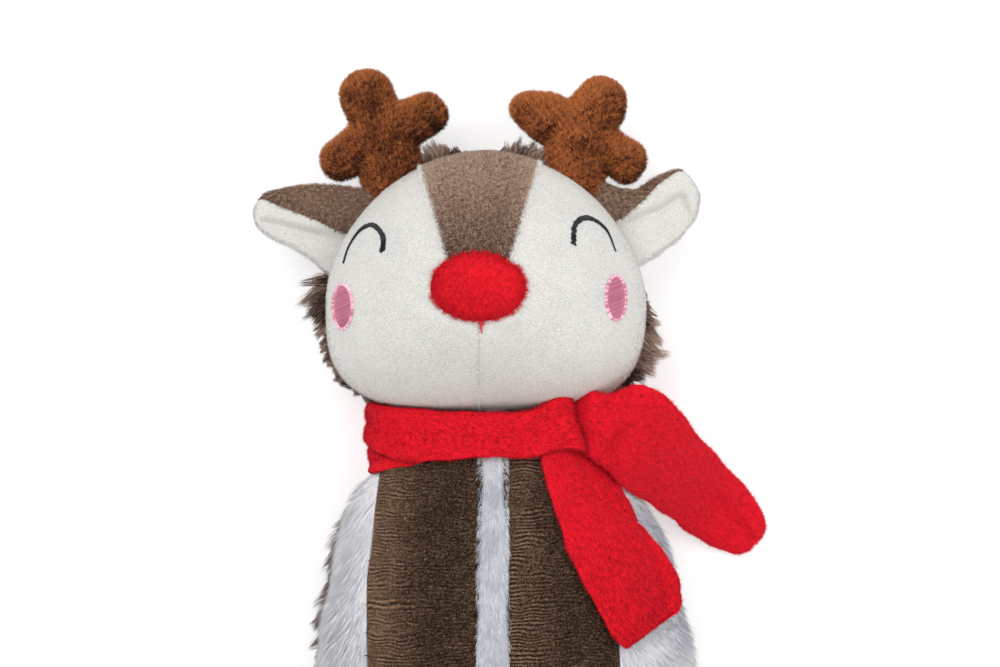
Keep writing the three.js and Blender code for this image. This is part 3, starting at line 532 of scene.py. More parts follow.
def tone(colour):
    """A daylight colour, from 0 to 255 each, as the shader wants it."""
    value = np.array(colour) / 255
    return np.where(value <= 0.04045, value / 12.92, ((value + 0.055) / 1.055) ** 2.4)


def finish_of(name, colour, roughness=0.85, sheen=0.35, gloss=0.25):
    material = bpy.data.materials.new(name)
    material.use_nodes = True
    inputs = material.node_tree.nodes["Principled BSDF"].inputs
    inputs["Base Color"].default_value = (*colour, 1)
    inputs["Roughness"].default_value = roughness
    inputs["Specular IOR Level"].default_value = gloss
    inputs["Sheen Weight"].default_value = sheen
    inputs["Sheen Roughness"].default_value = 0.45
    inputs["Sheen Tint"].default_value = (*(0.5 + colour / 2), 1)
    return material


def shades_of(name):
    """Finishes for yarn, from dark to light."""
    look = {"count": 4, **YARNS[name]}
    dark, light, count = tone(look.pop("dark")), tone(look.pop("light")), look.pop("count")
    return [finish_of(f"{name}_{i}", dark + (light - dark) * i / (count - 1), **look) for i in range(count)]


def noise_of(tree, place, size, detail):
    """Noise over an object, with bumps of that size in millimetres."""
    node = tree.nodes.new("ShaderNodeTexNoise")
    node.inputs["Scale"].default_value = 1 / (size * MM)
    node.inputs["Detail"].default_value = detail
    tree.links.new(place, node.inputs["Vector"])
    return node.outputs["Fac"]


def combined(tree, operation, first, second):
    """Two values of a finish put together. The second may be a plain number."""
    node = tree.nodes.new("ShaderNodeMath")
    node.operation = operation
    tree.links.new(first, node.inputs[0])
    if isinstance(second, (int, float)):
        node.inputs[1].default_value = second
    else:
        tree.links.new(second, node.inputs[1])
    return node.outputs[0]


def cloth_of(name):
    """Cloth with soft patches and a fine grain."""
    look = {"patch": 14, "grain": 0.9, "patchy": 0.55, "bump": 0.35, **CLOTHS[name]}
    dark, light = tone(look.pop("dark")), tone(look.pop("light"))
    patch, grain, patchy, strength = (look.pop(key) for key in ("patch", "grain", "patchy", "bump"))
    material = finish_of(name, light, **look)
    tree = material.node_tree
    links = tree.links
    shader = tree.nodes["Principled BSDF"]
    place = tree.nodes.new("ShaderNodeTexCoord").outputs["Object"]
    fine = noise_of(tree, place, grain, GRAIN_DETAIL)
    patches = combined(tree, "MULTIPLY", noise_of(tree, place, patch, PATCH_DETAIL), patchy)
    depth = combined(tree, "ADD", patches, combined(tree, "MULTIPLY", fine, 1 - patchy))
    shade = tree.nodes.new("ShaderNodeValToRGB")
    for element, position, colour in zip(shade.color_ramp.elements, SHADE_STOPS, (dark, light)):
        element.position = position
        element.color = (*colour, 1)
    links.new(depth, shade.inputs["Fac"])
    links.new(shade.outputs["Color"], shader.inputs["Base Color"])
    relief = tree.nodes.new("ShaderNodeBump")
    relief.inputs["Strength"].default_value = strength
    relief.inputs["Distance"].default_value = RELIEF_DEPTH * MM
    links.new(fine, relief.inputs["Height"])
    links.new(relief.outputs["Normal"], shader.inputs["Normal"])
    return material


# Pieces

def add_piece(name, surface, materials, body, slot, replaces=(), bend=None, index=None, crisp=True):
    """A mesh that rides on a body. A piece given a bend is left unattached where it stands."""
    materials = materials if isinstance(materials, list) else [materials]
    count = len(surface.tris)
    mesh = bpy.data.meshes.new(name)
    mesh.vertices.add(len(surface.points))
    mesh.vertices.foreach_set("co", (surface.points * MM).ravel())
    mesh.loops.add(3 * count)
    mesh.loops.foreach_set("vertex_index", surface.tris.ravel())
    mesh.polygons.add(count)
    mesh.polygons.foreach_set("loop_start", np.arange(0, 3 * count, 3))
    mesh.polygons.foreach_set("use_smooth", np.ones(count, bool))
    if index is not None:
        mesh.polygons.foreach_set("material_index", np.asarray(index, np.int32))
    mesh.update(calc_edges=True)
    if crisp:
        mesh.set_sharp_from_angle(angle=CRISP_ANGLE)
    for material in materials:
        mesh.materials.append(material)
    piece = bpy.data.objects.new(name, mesh)
    bpy.context.scene.collection.objects.link(piece)
    if bend:
        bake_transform(piece)
    else:
        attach(piece, body)
    if replaces:
        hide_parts(*replaces)
    return piece


def scatter(surface, count, name, weight=None):
    """Random places on a surface, spread evenly or by a weight, with the normals there."""
    rng = draws(name)
    a, b, c = surface.corners()
    area = np.linalg.norm(np.cross(b - a, c - a), axis=1)
    if weight is not None:
        area = area * np.maximum(weight((a + b + c) / 3), 0)
    total = np.cumsum(area)
    chosen = np.searchsorted(total, np.sort(rng.random(count)) * total[-1])
    u, v = rng.random((2, count, 1))
    fold = u + v > 1
    u, v = np.where(fold, 1 - u, u), np.where(fold, 1 - v, v)
    places = a[chosen] + u * (b - a)[chosen] + v * (c - a)[chosen]
    return places, unit(surface.normals()[surface.tris[chosen]].mean(1))


def unit(vectors):
    return vectors / np.maximum(np.linalg.norm(vectors, axis=-1, keepdims=True), 1e-9)


def lay_along(normals, way, lift):
    """Directions that lie along the surface towards a way, standing up by a share."""
    way = np.broadcast_to(unit(way), normals.shape)
    flat = way - normals * np.einsum("ij,ij->i", way, normals)[:, None]
    return unit(flat * (1 - lift) + normals * lift)


def aimed(normals, way, lift, rng, spread, clear):
    """Directions of the strands: along a way, spread at random, and clear of the cloth by a share."""
    aims = lay_along(normals, way, lift)
    aims = unit(aims + rng.normal(size=aims.shape) * spread)
    return unit(aims + normals * np.maximum(0, clear - np.einsum("ij,ij->i", aims, normals))[:, None])


def strands(roots, aims, lengths, width, name, bends=None):
    """Yarn ends, each a three-sided spike. With bends they are curved, in two stretches. The second
    result numbers each triangle's strand, and the third says how far up the strand it is."""
    count = len(roots)
    rng = draws(name + "_sides")
    side = unit(np.cross(aims, rng.normal(size=(count, 3))))
    other = np.cross(aims, side)
    lengths = np.reshape(lengths, (-1, 1))
    turns = [2 * np.pi * k / 3 for k in range(3)]
    rim = [(np.cos(t) * side + np.sin(t) * other) * width / 2 for t in turns]
    foot = roots - aims * SEAM_GAP
    levels = [[foot + r for r in rim]]
    tip = roots + aims * lengths
    if bends is not None:
        levels.append([roots + aims * lengths * 0.5 + bends * 0.25 + r * 0.8 for r in rim])
        tip = tip + bends
    points = np.stack([p for level in levels for p in level] + [tip], 1)
    points[..., 2] = np.maximum(points[..., 2], SEAM_GAP)
    per = points.shape[1]
    ring = [(0, 1), (1, 2), (2, 0)]
    tris = []
    height = []
    for level in range(len(levels) - 1):
        for i, j in ring:
            i, j = i + 3 * level, j + 3 * level
            tris += [(i, j, j + 3), (i, j + 3, i + 3)]
            height += [level, level]
    top = 3 * (len(levels) - 1)
    tris += [(i + top, j + top, per - 1) for i, j in ring]
    height += [len(levels) - 1] * 3
    all_tris = (np.arange(count) * per)[:, None, None] + np.array(tris)[None]
    made = Surface(points.reshape(-1, 3), all_tris.reshape(-1, 3))
    return made, np.repeat(np.arange(count), len(tris)), np.tile(height, count)


def gather(roots, tips, name, spacing, pull):
    """Draws the tips of neighbouring strands together, as fur clumps into locks."""
    number = max(2, len(roots) // spacing)
    leads = draws(name + "_locks").choice(len(roots), number, replace=False)
    nearest = np.empty(len(roots), int)
    batch = 2000
    for start in range(0, len(roots), batch):
        part = roots[start : start + batch]
        gaps = ((part[:, None, :] - roots[leads][None, :, :]) ** 2).sum(2)
        nearest[start : start + batch] = gaps.argmin(1)
    return tips + (tips[leads[nearest]] - tips) * pull, nearest


def add_pile(name, surface, shades, way, count, length, width, lift, spread, patch=9, mottle=0.12,
             speckle=0.2, weight=None, tint=None, **place):
    """Short pile: straight yarn ends that lie one way, in patches of lighter and darker shade."""
    rng = draws(name)
    roots, normals = scatter(surface, count, name, weight)
    way = way(roots) if callable(way) else np.array(way, float)
    aims = aimed(normals, way, lift, rng, spread, 0.25)
    lengths = (length(roots) if callable(length) else length) * rng.uniform(0.7, 1.15, len(roots))
    made, strand, _ = strands(roots, aims, lengths, width, name)
    level = 0.5 + mottle * waves(roots, patch, name) + speckle * rng.normal(size=len(roots))
    if tint is not None:
        level = level + tint(roots, normals)
    index = np.clip((level * len(shades)).astype(int), 0, len(shades) - 1)[strand]
    return add_piece(name, made, shades, index=index, crisp=False, **place)


def add_fur(name, surface, shades, way, count, length, width, lift, lock, pull, spread=0.22, patch=16,
            droop=(0, -0.15, -0.2), roots_darker=1, weight=None, tint=None, **place):
    """Long pile: curved strands drawn together in locks, darker at the root."""
    rng = draws(name)
    roots, normals = scatter(surface, count, name, weight)
    way = way(roots) if callable(way) else np.array(way, float)
    aims = aimed(normals, way, lift, rng, spread, 0.12)
    lengths = (length(roots) if callable(length) else length) * rng.uniform(0.5, 1.2, len(roots))
    tips = roots + aims * lengths[:, None] + np.array(droop) * lengths[:, None]
    tips, locks = gather(roots, tips, name, lock, pull)
    bends = tips - roots - aims * lengths[:, None]
    made, strand, height = strands(roots, aims, lengths, width, name, bends)
    level = 0.25 * waves(roots, patch, name) + rng.normal(size=len(roots)) * 0.16
    level = level + rng.normal(size=locks.max() + 1)[locks] * 0.2
    level = 0.5 + level if tint is None else tint(roots) + 0.4 * level
    # The root stretch of each strand is drawn a shade darker: partly the fur's own darker roots, partly
    # painted shade between the strands.
    index = (level * len(shades)).astype(int)[strand] - roots_darker * (height == 0)
    index = np.clip(index, 0, len(shades) - 1)
    return add_piece(name, made, shades, index=index, crisp=False, **place)


def ray_down(surface):
    """A function that drops places in the ground plan onto a surface, and gives the normals there."""
    tree = BVHTree.FromPolygons(surface.points.tolist(), surface.tris.tolist())

    def drop(x, y):
        starts = [Vector((a, b, RAY_TOP)) for a, b in zip(np.ravel(x), np.ravel(y))]
        found = [tree.ray_cast(start, Vector((0, 0, -1)))[:2] for start in starts]
        return (np.array([hit[k] for hit in found], float).reshape(*np.shape(x), 3) for k in range(2))

    return drop


def stitches(drop, starts, ends, width, rise):
    """Satin stitches over a surface, each a small arched thread from start to end in the ground plan."""
    along = np.linspace(0, 1, STITCH_ROWS)
    across = np.linspace(-1, 1, STITCH_COLUMNS)
    starts, ends = np.asarray(starts), np.asarray(ends)
    way = unit(ends - starts)
    side = np.stack([-way[:, 1], way[:, 0]], 1)
    middle = starts[:, None] + (ends - starts)[:, None] * along[None, :, None]
    plan = middle[:, :, None] + side[:, None, None] * across[None, None, :, None] * width / 2
    places, normals = drop(plan[..., 0], plan[..., 1])
    arch = 0.35 + 0.65 * np.sin(np.pi * along) ** 0.4
    height = rise * arch[None, :, None] * (1 - 0.7 * across**2)[None, None, :]
    points = places + normals * (height - STITCH_SINK)[..., None]
    return joined([grid(rows).outward() for rows in points])


# Seams and sewn panels

def in_front_of(level):
    """A field over points: how far they are in front of a seam at a height, less half its gap."""
    return lambda points: points[:, 2] - level - HALF_GAP


def behind(level):
    return lambda points: level - HALF_GAP - points[:, 2]


def panel_of(form, fields, dip=0):
    """A sewn panel: a form clipped at its seams and sunk a little along them. The second result is how
    far its points are from the nearest seam."""
    panel = form
    for field in fields:
        panel = panel.clip(field)
    near = np.min([field(panel.points) for field in fields], axis=0)
    return panel.moved(-dip * dent(near, SEAM_DIP_WIDTH)), near


# Head

FACE_DIP = 0.35
FOREHEAD_DIP = 0.3
PUCKER_WIDTH = 7
PUCKER_REACH = 20
BROW_FUZZ_REACH = 0.7
CHIN_FUZZ_REACH = 0.8
OUTWARDS_RISE = 18
OUTWARDS_SINK = 10
HEAD_FUR_RISE = 6
SIDE_FUR_LEFT = (6, 9.5)
SIDE_FUR_RIGHT = (5.5, 7)
TOP_FUR = (1.5, 11, 13)
NAP_ROOM = 0.5
NOSE_SINK = 1.2
NOSE_FLOOR = 2
NOSE_PUCKER = 0.25
NOSE_PUCKERS = 23
NOSE_NAP_Z = 92
NOSE_NAP_LENGTH = 1.2
NOSE_FRINGE_LENGTH = 1.3
NOSE_FRINGE_X = 3
NOSE_FRINGE_Y = 7
THREAD_X = 1


def head_points(tilt, angle, grow):
    """Points on the head. Tilt runs from the nape to the nose, and angle round the face."""
    level = np.sin(tilt)
    front = level > 0
    power = np.where(front, FACE_POWER, NAPE_POWER)
    spread = np.cos(tilt) ** (2 / power)
    reach = np.sign(level) * np.abs(level) ** (2 / power)
    upper, across, up = split_point(angle, CROWN_POWER, JAW_POWER)
    ahead = np.maximum(0, level)
    height = np.where(upper, CROWN_HEIGHT, JAW_HEIGHT)
    x = HEAD_X + (HEAD_WIDTH / 2 + grow) * spread * across + NOSE_SHIFT_X * ahead**2
    y = HEAD_Y + (height + grow) * spread * up + NOSE_SHIFT_Y * ahead**2
    muzzle = dent(np.hypot(x - NOSE_X, y - NOSE_Y), MUZZLE_RADIUS) * ahead
    z = HEAD_Z + (np.where(front, FACE_DEPTH, NAPE_DEPTH) + grow) * reach + MUZZLE_HEIGHT * muzzle
    return np.stack([x, y, z], -1)


def head_outline(angle):
    upper, across, up = split_point(angle, CROWN_POWER, JAW_POWER)
    return HEAD_WIDTH / 2 * across, np.where(upper, CROWN_HEIGHT, JAW_HEIGHT) * up


def head_form(grow, rows, columns):
    tilt = np.linspace(-QUARTER, QUARTER, rows + 2)[1:-1, None]
    angle = even_angles(columns, head_outline)[None, :]
    return capped(head_points(tilt, angle, grow)).above(0)


def head_gap(points):
    """About how far places are outside the head, in millimetres."""
    x, y, z = points.T
    up, deep = y - HEAD_Y, z - HEAD_Z
    power = np.where(up > 0, CROWN_POWER, JAW_POWER)
    height = np.where(up > 0, CROWN_HEIGHT, JAW_HEIGHT)
    flat = (np.abs((x - HEAD_X) / (HEAD_WIDTH / 2)) ** power + np.abs(up / height) ** power) ** (1 / power)
    power = np.where(deep > 0, FACE_POWER, NAPE_POWER)
    depth = np.abs(deep / np.where(deep > 0, FACE_DEPTH, NAPE_DEPTH))
    return ((flat**power + depth**power) ** (1 / power) - 1) * JAW_HEIGHT


def brow_gap(points):
    """How far places are outside the forehead panel, in the ground plan."""
    x, y, _ = points.T
    rise = np.clip((y - NOSE_Y) / BROW_TOP_Y, 0, 1)
    half = BROW_NOSE_HALF + (BROW_TOP_HALF - BROW_NOSE_HALF) * rise
    return np.maximum(np.abs(x - NOSE_X) - half, NOSE_Y - y)


def nose_share(points):
    """How far out places are on the nose, 0 at its middle and 1 at its edge, in the ground plan."""
    x, y, _ = points.T
    return np.hypot((x - NOSE_X) / (NOSE_WIDTH / 2), (y - NOSE_Y) / (NOSE_HEIGHT / 2))


def nose_gap(points, grow=0):
    return (nose_share(points) - 1) * (NOSE_WIDTH + NOSE_HEIGHT) / 4 - grow


def on_face(x, y):
    """A place on the sewn face, from the middle of the nose, turned with the face."""
    c, s = np.cos(FACE_TILT), np.sin(FACE_TILT)
    return NOSE_X + c * x - s * y, NOSE_Y + s * x + c * y


def make_head():
    form = head_form(0, 230, 520)
    rim = np.minimum(np.abs(nose_gap(form.points)), PUCKER_REACH)
    pucker = lumps(form.points, "face_pucker") * dent(rim, PUCKER_WIDTH)
    form = form.moved(lumps(form.points, "head_lumps") + pucker)
    face = make_face(form)
    make_forehead(form)
    make_head_fur(form)
    stuffing = head_form(CORE_GROW, 60, 120)
    core = add_piece("head_core", stuffing.moved(lumps(stuffing.points, "core")), fibre, "head", "stuffing",
                     ["head_stuffing"])
    make_nose(form)
    make_embroidery(face)


def no_nose(points):
    return nose_gap(points, HALF_GAP)


def make_face(form):
    """The two white panels, which meet in a seam from the nose to the chin."""
    white, nap = cloth_of("face_cloth"), shades_of("face_nap")
    on = dict(body="head", slot="white_plush")
    panels = []
    for side, name in SIDES:
        def beside_chin(points, side=side):
            return side * (points[:, 0] - NOSE_X) - CLOSE_SEAM / 2

        fields = [in_front_of(FACE_SEAM_Z), lambda p: brow_gap(p) - HALF_GAP, no_nose, beside_chin]
        panel, _ = panel_of(form, fields, FACE_DIP)
        panels.append(panel)
        add_piece(f"face_{name}", panel.shell(FABRIC), white, replaces=[f"face_panel_{name}"], **on)
        add_pile(f"face_nap_{name}", panel, nap, outwards,
                 weight=lambda p: ramp(-p[:, 2], "face_nap_z"), **PILES["face_nap"], **on)
        add_pile(f"brow_fuzz_{name}", panel, nap, (-side, -0.4, 0.5),
                 weight=lambda p: brow_gap(p) < BROW_FUZZ_REACH, **PILES["brow_fuzz"], **on)
        add_pile(f"seam_fuzz_{name}", panel, nap, (-side, -0.4, 0.2),
                 weight=lambda p: (np.abs(p[:, 0] - NOSE_X) < CHIN_FUZZ_REACH) * (p[:, 1] < NOSE_Y),
                 **PILES["seam_fuzz"], **on)
    return joined(panels)


def outwards(points):
    """The nap of the face runs down and away from the nose."""
    away = points - [NOSE_X, NOSE_Y + OUTWARDS_RISE, HEAD_Z]
    away[:, 2] = -OUTWARDS_SINK
    return unit(unit(away) + [0, -0.5, 0])


def make_forehead(form):
    taupe, nap = cloth_of("forehead_cloth"), shades_of("forehead_nap")
    on = dict(body="head", slot="brown_plush")
    fields = [in_front_of(FACE_SEAM_Z), lambda p: -brow_gap(p) - HALF_GAP, no_nose]
    brow, _ = panel_of(form, fields, FOREHEAD_DIP)
    add_piece("forehead", brow.shell(FABRIC), taupe, replaces=["forehead_panel"], **on)

    # Painted shade and light: the pile is drawn darker towards the nose, lighter towards the top and lighter
    # along the side edges, with rows of lighter and darker pile low down.
    def lighter_above(points, _):
        rise = (points[:, 1] - NOSE_Y) / BROW_TOP_Y
        rows = rib_crest(points * [1, 1.35, 1]) * (1 - ease(rise, 0.3, 0.9))
        edge = 0.16 * ramp(brow_gap(points), "brow_edge") * ease(rise, 0.2, 0.6)
        return 0.2 * rows + 0.72 * ease(rise, 0.15, 0.85) - 0.58 + edge

    add_pile("forehead_nap", brow, nap, (0, -1, 0), tint=lighter_above, **PILES["forehead_nap"], **on)


def make_head_fur(form):
    on = dict(body="head", slot="brown_fur")
    back, _ = panel_of(form, [behind(FACE_SEAM_Z)])
    add_piece("head_back", back.shell(FABRIC), cloth_of("fur_backing"), replaces=["head_fur_back"], **on)

    def beside_ears(points):
        x, y, z = points.T
        tufts = 1 + 1.6 * bump(y, "left_tuft_y") * (x < HEAD_X) + ramp(y, "tufts_y")
        return (0.35 + 1.8 * ramp(z, "nape_z")) * (1 - 0.7 * behind_ears(points)) * tufts

    add_fur("head_fur", back, shades_of("brown_fur"), head_fur_way, length=head_fur_length,
            weight=beside_ears, **FURS["head_fur"], **on)


def head_fur_way(points):
    """Long fur behind the face points away from the head and a little down."""
    away = points - [HEAD_X, HEAD_Y + HEAD_FUR_RISE, HEAD_Z]
    away[:, 2] = 0
    return unit(unit(away) + [0, -0.25, 0.12])


def head_fur_length(points):
    """Longest under the left ear and beside the right jaw, and short between the antlers."""
    x, y, _ = points.T
    left = SIDE_FUR_LEFT[0] + SIDE_FUR_LEFT[1] * bump(y, "left_fur_y")
    right = SIDE_FUR_RIGHT[0] + SIDE_FUR_RIGHT[1] * bump(y, "right_fur_y")
    side = np.where(x < HEAD_X, left, right)
    top = TOP_FUR[0] + TOP_FUR[1] * bump(x, "left_top_x") + TOP_FUR[2] * bump(x, "right_top_x")
    return (side + (top - side) * ramp(y, "crown_y")) * (1 - 0.7 * behind_ears(points))


def behind_ears(points):
    """1 where an ear lies close over the fur, and 0 elsewhere. The turn is in degrees."""
    x, y, z = points.T
    turn = np.arctan2(y - HEAD_Y, np.abs(x - HEAD_X)) / DEGREE
    turn = turn + np.where(x > HEAD_X, 13, 7) * (turn < 30)
    return ease(turn, 16, 22) * (1 - ease(turn, 64, 70)) * ramp(z, "ears_z")


# Nose

NOSE_POWER = 2.15
NOSE_SEAM_SHARE = 0.98

# The ends of the thread's stitches under the nose, in shares of its reach
THREAD_REACH = 1
THREAD_START_SHARES = [(0, 0.8), (0.6, 0.6), (-1.1, -0.7), (0.1, -1.5)]
THREAD_END_SHARES = [(-0.3, -3), (0.5, -2), (1.5, -1.1), (0.3, -4.6)]


def nose_fringe(points):
    """The nap of the nose runs out from a place above its middle."""
    away = points - [NOSE_X - NOSE_FRINGE_X, NOSE_Y + NOSE_FRINGE_Y, 0]
    away[:, 2] = 0.5 * np.hypot(away[:, 0], away[:, 1])
    return away


def nose_nap_length(points):
    return NOSE_NAP_LENGTH + NOSE_FRINGE_LENGTH * ease(nose_share(points), 0.72, 0.98)


def nose_form(drop):
    """A rounded cushion over the muzzle, drawn in where it is sewn on."""
    share = np.sin(np.linspace(0, QUARTER, 46))[:, None]
    angle = np.linspace(0, 2 * np.pi, 120, endpoint=False)[None, :]
    across, up = super_point(angle, NOSE_POWER)
    x = NOSE_X + NOSE_WIDTH / 2 * share * across
    y = NOSE_Y + NOSE_HEIGHT / 2 * share * up
    ground, _ = drop(NOSE_X + (x - NOSE_X) * NOSE_SEAM_SHARE, NOSE_Y + (y - NOSE_Y) * NOSE_SEAM_SHARE)
    z = ground[..., 2] - NOSE_SINK + (NOSE_PROUD + NOSE_SINK) * (1 - share**2.4) ** 0.55
    dome = np.stack([x, y, z], -1)[::-1]
    floor = dome[:1] - [0, 0, NOSE_FLOOR]
    form = capped(np.concatenate([floor, dome[:-1]]))
    edge = ease(nose_share(form.points), 0.6, 1)
    turn = np.arctan2(form.points[:, 1] - NOSE_Y, form.points[:, 0] - NOSE_X)
    pucker = NOSE_PUCKER * np.sin(turn * NOSE_PUCKERS + lumps(form.points, "nose_turn")) * edge
    return form.moved(pucker + lumps(form.points, "nose_lumps")).moved(-NAP_ROOM)


def make_nose(head):
    """An oval cushion of its own cloth, with the ends of its sewing thread below it."""
    drop = ray_down(head)
    form = nose_form(drop)
    on = dict(body="head", slot="red_plush")
    piece = add_piece("nose_cushion", form, cloth_of("nose_cloth"), replaces=["nose"], **on)
    add_pile("nose_nap", form, shades_of("nose_nap"), nose_fringe, length=nose_nap_length,
             weight=lambda p: p[:, 2] > NOSE_NAP_Z, **PILES["nose_nap"], **on)
    knot = np.array([NOSE_X + THREAD_X, NOSE_Y - NOSE_HEIGHT / 2])
    starts, ends = (
        knot + THREAD_REACH * np.array(shares) for shares in (THREAD_START_SHARES, THREAD_END_SHARES)
    )
    loops = stitches(drop, starts, ends, *STITCHES["nose"])
    add_piece("nose_stitch", loops, shades_of("nose_thread"), "head", "pink_thread")


# Embroidery

CHEEK_STEP = 0.3
CHEEK_SLOPE = 0.42
CHEEK_MARGIN = 0.5
CHEEK_BORDER_STITCHES = 104
CHEEK_BORDER_INNER = -1.1
CHEEK_BORDER_OUTER = 0.1
CHEEK_BORDER_SKEW = 0.03
EYE_STITCHES = 96

# The line of each eye from its inner end, in shares of its half width and of its height
EYE_SHARES = {
    "left": [
        (-1.02, 0.04), (-1.08, 0.5), (-0.76, 0.86), (-0.37, 0.96), (0.15, 0.77), (0.67, 0.27), (0.95, -0.27),
    ],
    "right": [
        (-0.97, 0.08), (-0.88, 0.68), (-0.55, 0.92), (-0.17, 0.96), (0.32, 0.81), (0.77, 0.47), (1.1, -0.16),
    ],
}


def make_embroidery(face):
    drop = ray_down(face)
    pinks = shades_of("cheek_thread") + shades_of("cheek_border")
    black = shades_of("eye_thread")
    for side, name in SIDES:
        make_cheek(drop, side, name, pinks)
        make_eye(drop, side, name, black)


def make_cheek(drop, side, name, pinks):
    """An oval filled with slanting satin stitches, in a border of stitches across its edge."""
    x, y = on_face(side * CHEEK_X, CHEEK_Y)
    across = np.linspace(-CHEEK_HALF_WIDTH, CHEEK_HALF_WIDTH, 121)
    half_width, half_height = CHEEK_HALF_WIDTH - CHEEK_MARGIN, CHEEK_HALF_HEIGHT - CHEEK_MARGIN
    starts, ends = [], []
    for level in np.arange(-CHEEK_HALF_HEIGHT * 1.25, CHEEK_HALF_HEIGHT * 1.25, CHEEK_STEP):
        up = level + CHEEK_SLOPE * across
        inside = (across / half_width) ** 2 + (up / half_height) ** 2 < 1
        if inside.sum() > 6:
            starts.append((x + across[inside][0], y + up[inside][0]))
            ends.append((x + across[inside][-1], y + up[inside][-1]))
    fill = stitches(drop, starts, ends, *STITCHES["cheek_fill"])
    turns = np.linspace(0, 2 * np.pi, CHEEK_BORDER_STITCHES, endpoint=False)

    def rim(out, skew):
        turned = turns + skew
        return np.stack([
            x + (CHEEK_HALF_WIDTH + out) * np.cos(turned), y + (CHEEK_HALF_HEIGHT + out) * np.sin(turned),
        ], 1)

    inner, outer = rim(CHEEK_BORDER_INNER, 0), rim(CHEEK_BORDER_OUTER, CHEEK_BORDER_SKEW)
    border = stitches(drop, inner, outer, *STITCHES["cheek_border"])
    filling, edging = (len(part.tris) // STITCH_TRIS for part in (fill, border))
    index = draws("cheek_" + name).integers(0, 3, filling + edging)
    index[filling:] += 3
    add_piece(f"cheek_{name}", joined([fill, border]), pinks, "head", "pink_thread",
              [f"cheek_patch_{name}"], index=np.repeat(index, STITCH_TRIS))


def make_eye(drop, side, name, black):
    """A line of short stitches, broad at its inner end and thin at its outer."""
    share = np.linspace(0, 1, EYE_STITCHES)
    across, up = np.array(EYE_SHARES[name]).T
    row = share * (len(across) - 1)
    x = side * (EYE_X + EYE_HALF_WIDTH * read_rows(across, row))
    middle = np.stack([x, EYE_Y + EYE_HEIGHT * read_rows(up, row)], 1)
    along = unit(np.gradient(middle, axis=0))
    out = np.stack([-along[:, 1], along[:, 0]], 1) * side
    stroke = EYE_OUTER_STROKE + (EYE_INNER_STROKE - EYE_OUTER_STROKE) * (1 - ease(share, 0.3, 1))
    ragged = draws("stitch_" + name).uniform(0.65, 1.25, len(share))
    half = out * (stroke * ragged)[:, None] / 2
    lean = along * stroke[:, None] * 0.25
    edges = [np.stack(on_face(*(middle + way * half + way * lean).T), 1) for way in (-1, 1)]
    line = stitches(drop, *edges, *STITCHES["eye"])
    index = np.repeat(draws("eye_" + name).integers(0, 3, len(share)), STITCH_TRIS)
    add_piece(f"eye_{name}", line, black, "head", "black_thread", [f"eye_stitch_{name}"], index=index)


# Torso

TORSO_CORE_GAP = 1.5
HEAD_CLEARANCE = 0.6
LOW_EDGE = 1
TORSO_STEP = 1.1
CORE_STEP = 4
STRIP_DIP = 1.2
FLANK_DIP = 0.7
FUR_ROOT_SINK = 0.3
FLANK_TURN = 22
FLANK_TURN_LESS = 13
FLANK_FUR_LENGTH = 10
SHOULDER_FUR = 2
PRESSED_FUR = 6
TAIL_SHIFTS = (0, 4, 7)
BACK_FUR_LENGTH = 9.5
BACK_FUR_RIGHT = 5.5
BACK_FUR_LEFT = 3
BACK_FUR_TAILS = 1.8
BACK_FUR_FRONT_Z = 12
BAND_FOOT_Y = SCARF_Y - SCARF_WIDTH / 2
BAND_FADE_BELOW = 3
BAND_FADE_ABOVE = 1


def torso_row(share, grow=0):
    """The torso's cut at a share of its length: its middle, half width, front depth and back depth."""
    seat = end_round((1 - share) / SEAT_END_SHARE, END_POWER)
    neck = end_round(share / NECK_END_SHARE, END_POWER)
    bottom = TORSO_LIFT * read_table(TORSO_LIFT_SHARES, share) - FLOOR_SINK
    depth = TORSO_DEPTH * read_table(TORSO_DEPTH_SHARES, share) - bottom
    middle = bottom + depth * SIDE_SEAM_SHARE
    half = TORSO_WIDTH / 2 * read_table(TORSO_WIDTH_SHARES, share) * seat * neck + grow
    x = STRIP_X + TORSO_LEAN * np.sin(QUARTER * np.clip(share - NECK_END_SHARE, 0, 1))
    y = TORSO_TOP + grow - (TORSO_LENGTH + 2 * grow) * share
    front = (bottom + depth - middle) * seat * neck + grow
    back = (middle - bottom) * np.where(share > 0.5, seat**0.5, neck) + grow
    return x, y, middle, half, front, back


def torso_points(share, angle, grow=0):
    x, y, middle, half, front, back = torso_row(share, grow)
    upper, across, up = split_point(angle, FRONT_POWER, BACK_POWER)
    return np.stack([x + half * across, y + 0 * across, middle + np.where(upper, front, back) * up], -1)


def torso_outline(angle):
    upper, across, up = split_point(angle, FRONT_POWER, BACK_POWER)
    depth_share = np.where(upper, 1 - SIDE_SEAM_SHARE, SIDE_SEAM_SHARE)
    return TORSO_WIDTH / 2 * across, TORSO_DEPTH * (depth_share * up)


def torso_shares(step):
    """Rows along the torso, a step apart, and closer where its ends round off."""
    neck = NECK_END_SHARE * (1 - np.cos(np.linspace(0, QUARTER, 14)[1:]))
    seat = 1 - SEAT_END_SHARE * (1 - np.sin(np.linspace(0, QUARTER, 46)[:-1]))
    middle = np.arange(NECK_END_SHARE, 1 - SEAT_END_SHARE, step / TORSO_LENGTH)[1:]
    return np.concatenate([neck, middle, seat])[:, None]


def chest_height(x, y, grow=SEAM_GAP + CHEST_PUFF, reach_share=FLANK_REACH_SHARE):
    """Height of the chest's pile. Past the flank's shoulder, cloth that lies on it stands off."""
    row_x, _, middle, half, front, _ = torso_row((TORSO_TOP - y) / TORSO_LENGTH, grow)
    reach = np.minimum(reach_share, np.abs(x - row_x) / half)
    return middle + front * (1 - reach**FRONT_POWER) ** (1 / FRONT_POWER)


def strip_gap(points):
    """How far places are beside the strip down the middle of the chest."""
    x, y, _ = points.T
    share = np.clip((TORSO_TOP - y) / TORSO_LENGTH, 0, 1)
    return np.abs(x - STRIP_X) - STRIP_TOP_HALF - (STRIP_FOOT_HALF - STRIP_TOP_HALF) * share


